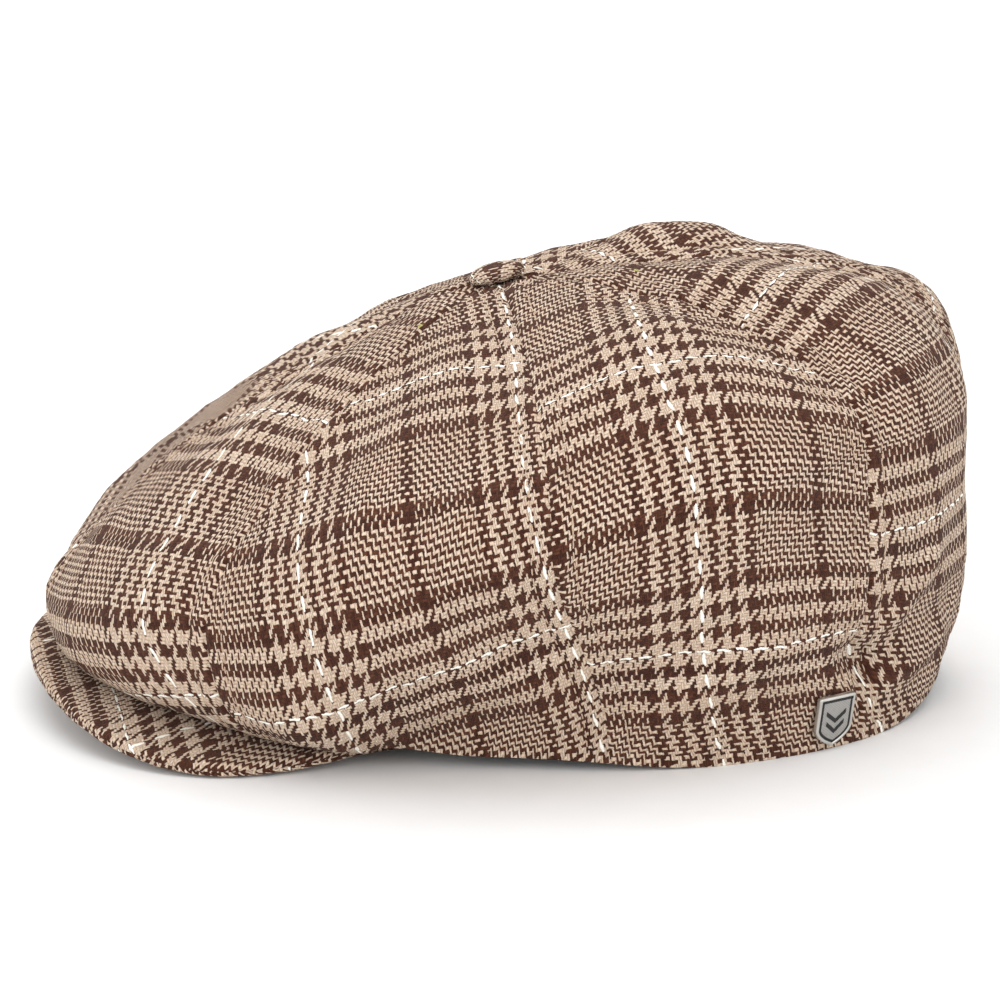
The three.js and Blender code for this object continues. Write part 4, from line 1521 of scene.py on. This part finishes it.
def make_peak_join():
    """The peak's seam allowance behind the rim, in strips."""
    edges = np.degrees(PEAK_CORNER) * np.linspace(-1, 1, JOIN_STRIPS + 1)
    steps = np.linspace(0, 1, 20)[None]
    for number, (low, high) in enumerate(zip(edges[:-1], edges[1:])):
        heading = np.radians(np.linspace(low, high, 16))[:, None]
        offset = mix(0.25, PEAK_RIM_GAP + 1.2, ease((steps - 0.45) / 0.55))
        x, y = rim_point(heading, offset)
        foot = peak_under_z(rim_point(heading, PEAK_RIM_GAP)[0]) + 1.4
        z = mix(foot + JOIN_HEIGHT, foot, ease(steps * 1.1)) + 0 * x
        outer = np.stack([x, y, z], -1)
        lean = np.full_like(heading, 0.35)
        normals = unit(np.stack([np.sin(heading), -np.cos(heading), lean], -1))
        inner = outer - normals * JOIN_THICKNESS
        uvs = np.stack([x, z * 1.2 + y], -1)
        piece = new_sheet(f"peak_join_{number + 1}", outer, inner, uvs, TWEED, None, "tweed")
        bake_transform(piece)


# ---- CAD nodes that stay ----
def finish_kept_nodes():
    """Gives their materials to the CAD nodes whose shapes are right as they are."""
    looks = {
        "peak_board": BOARD,
        "button_shell": TINPLATE,
        "button_back": TINPLATE,
        "button_thread": TIE_THREAD,
        "badge_washer": TINPLATE,
        "badge_inlay": FIELD,
    }
    for name, material in looks.items():
        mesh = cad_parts[name].data
        mesh.materials.clear()
        mesh.materials.append(material)


# ---- Studio ----
CAMERA_DISTANCE = 1600.0
CAMERA_AZIMUTH = math.radians(86.4)
CAMERA_ELEVATION = math.radians(17.2)
CAMERA_LENS = 189.9
AIM_ACROSS = -27.5  # the aim point from the opening's centre, along the picture's axes
AIM_UP = 54.4
# Each light's place and size in metres, and its power in watts
LIGHTS = {
    "top_light": ((0.2, 0.1, 1.7), (1.8, 1.8), 12),
    "key_light": ((1.6, -1.2, 0.8), (1.2, 1.2), 11.5),
    "fill_light": ((1.3, 1.5, 0.7), (1.2, 1.0), 6.5),
    "far_light": ((-1.4, -0.3, 1.2), (1.2, 1.0), 7),
}
LIGHTS_AIM = (0, 0, 0.06)
ROOM_LIGHT = 0.92


def make_camera():
    turn = math.pi / 2 - CAMERA_AZIMUTH
    towards = np.array([
        math.cos(turn) * math.cos(CAMERA_ELEVATION),
        -math.sin(turn) * math.cos(CAMERA_ELEVATION),
        math.sin(CAMERA_ELEVATION),
    ])
    right = np.array([math.sin(turn), math.cos(turn), 0.0])
    up = np.cross(towards, right)
    eye = Vector(to_frame(towards * CAMERA_DISTANCE))
    aim = Vector(to_frame(right * AIM_ACROSS + up * AIM_UP))
    data = bpy.data.cameras.new("camera")
    data.lens = CAMERA_LENS
    data.sensor_width = 36
    data.clip_start = 0.01
    data.clip_end = 50
    camera = bpy.data.objects.new("camera", data)
    camera.rotation_euler = (aim - eye).to_track_quat("-Z", "Y").to_euler()
    camera.location = eye
    bpy.context.scene.collection.objects.link(camera)
    bpy.context.scene.camera = camera


def make_floor():
    side = 30.0
    corners = [(-side, -side, 0), (side, -side, 0), (side, side, 0), (-side, side, 0)]
    mesh = bpy.data.meshes.new("floor")
    mesh.from_pydata(corners, [], [(0, 1, 2, 3)])
    mesh.materials.append(pale_floor())
    floor = bpy.data.objects.new("floor", mesh)
    bpy.context.scene.collection.objects.link(floor)


def make_light(name, place, size, watts):
    """A soft rectangular light that shines on the cap's middle."""
    data = bpy.data.lights.new(name, "AREA")
    data.shape = "RECTANGLE"
    data.size, data.size_y = size
    data.energy = watts
    light = bpy.data.objects.new(name, data)
    light.location = place
    light.rotation_euler = (Vector(LIGHTS_AIM) - Vector(place)).to_track_quat("-Z", "Y").to_euler()
    bpy.context.scene.collection.objects.link(light)


def make_studio():
    make_floor()
    for name, (place, size, watts) in LIGHTS.items():
        make_light(name, place, size, watts)
    world = bpy.data.worlds.new("studio")
    world.use_nodes = True
    background = world.node_tree.nodes["Background"]
    background.inputs["Color"].default_value = (1, 1, 1, 1)
    background.inputs["Strength"].default_value = ROOM_LIGHT
    bpy.context.scene.world = world
    bpy.context.scene.view_settings.view_transform = "Standard"
    bpy.context.scene.view_settings.look = "None"


make_camera()
make_studio()
make_gores()
make_topstitching()
make_peak()
make_rim()
make_tab("size_tab", "size_label", 180, 14, 9, 6)
make_tab("care_tab", "care_label", 240, 18, 14, 4)
make_crown_label()
make_button()
make_badge()
make_peak_join()
finish_kept_nodes()
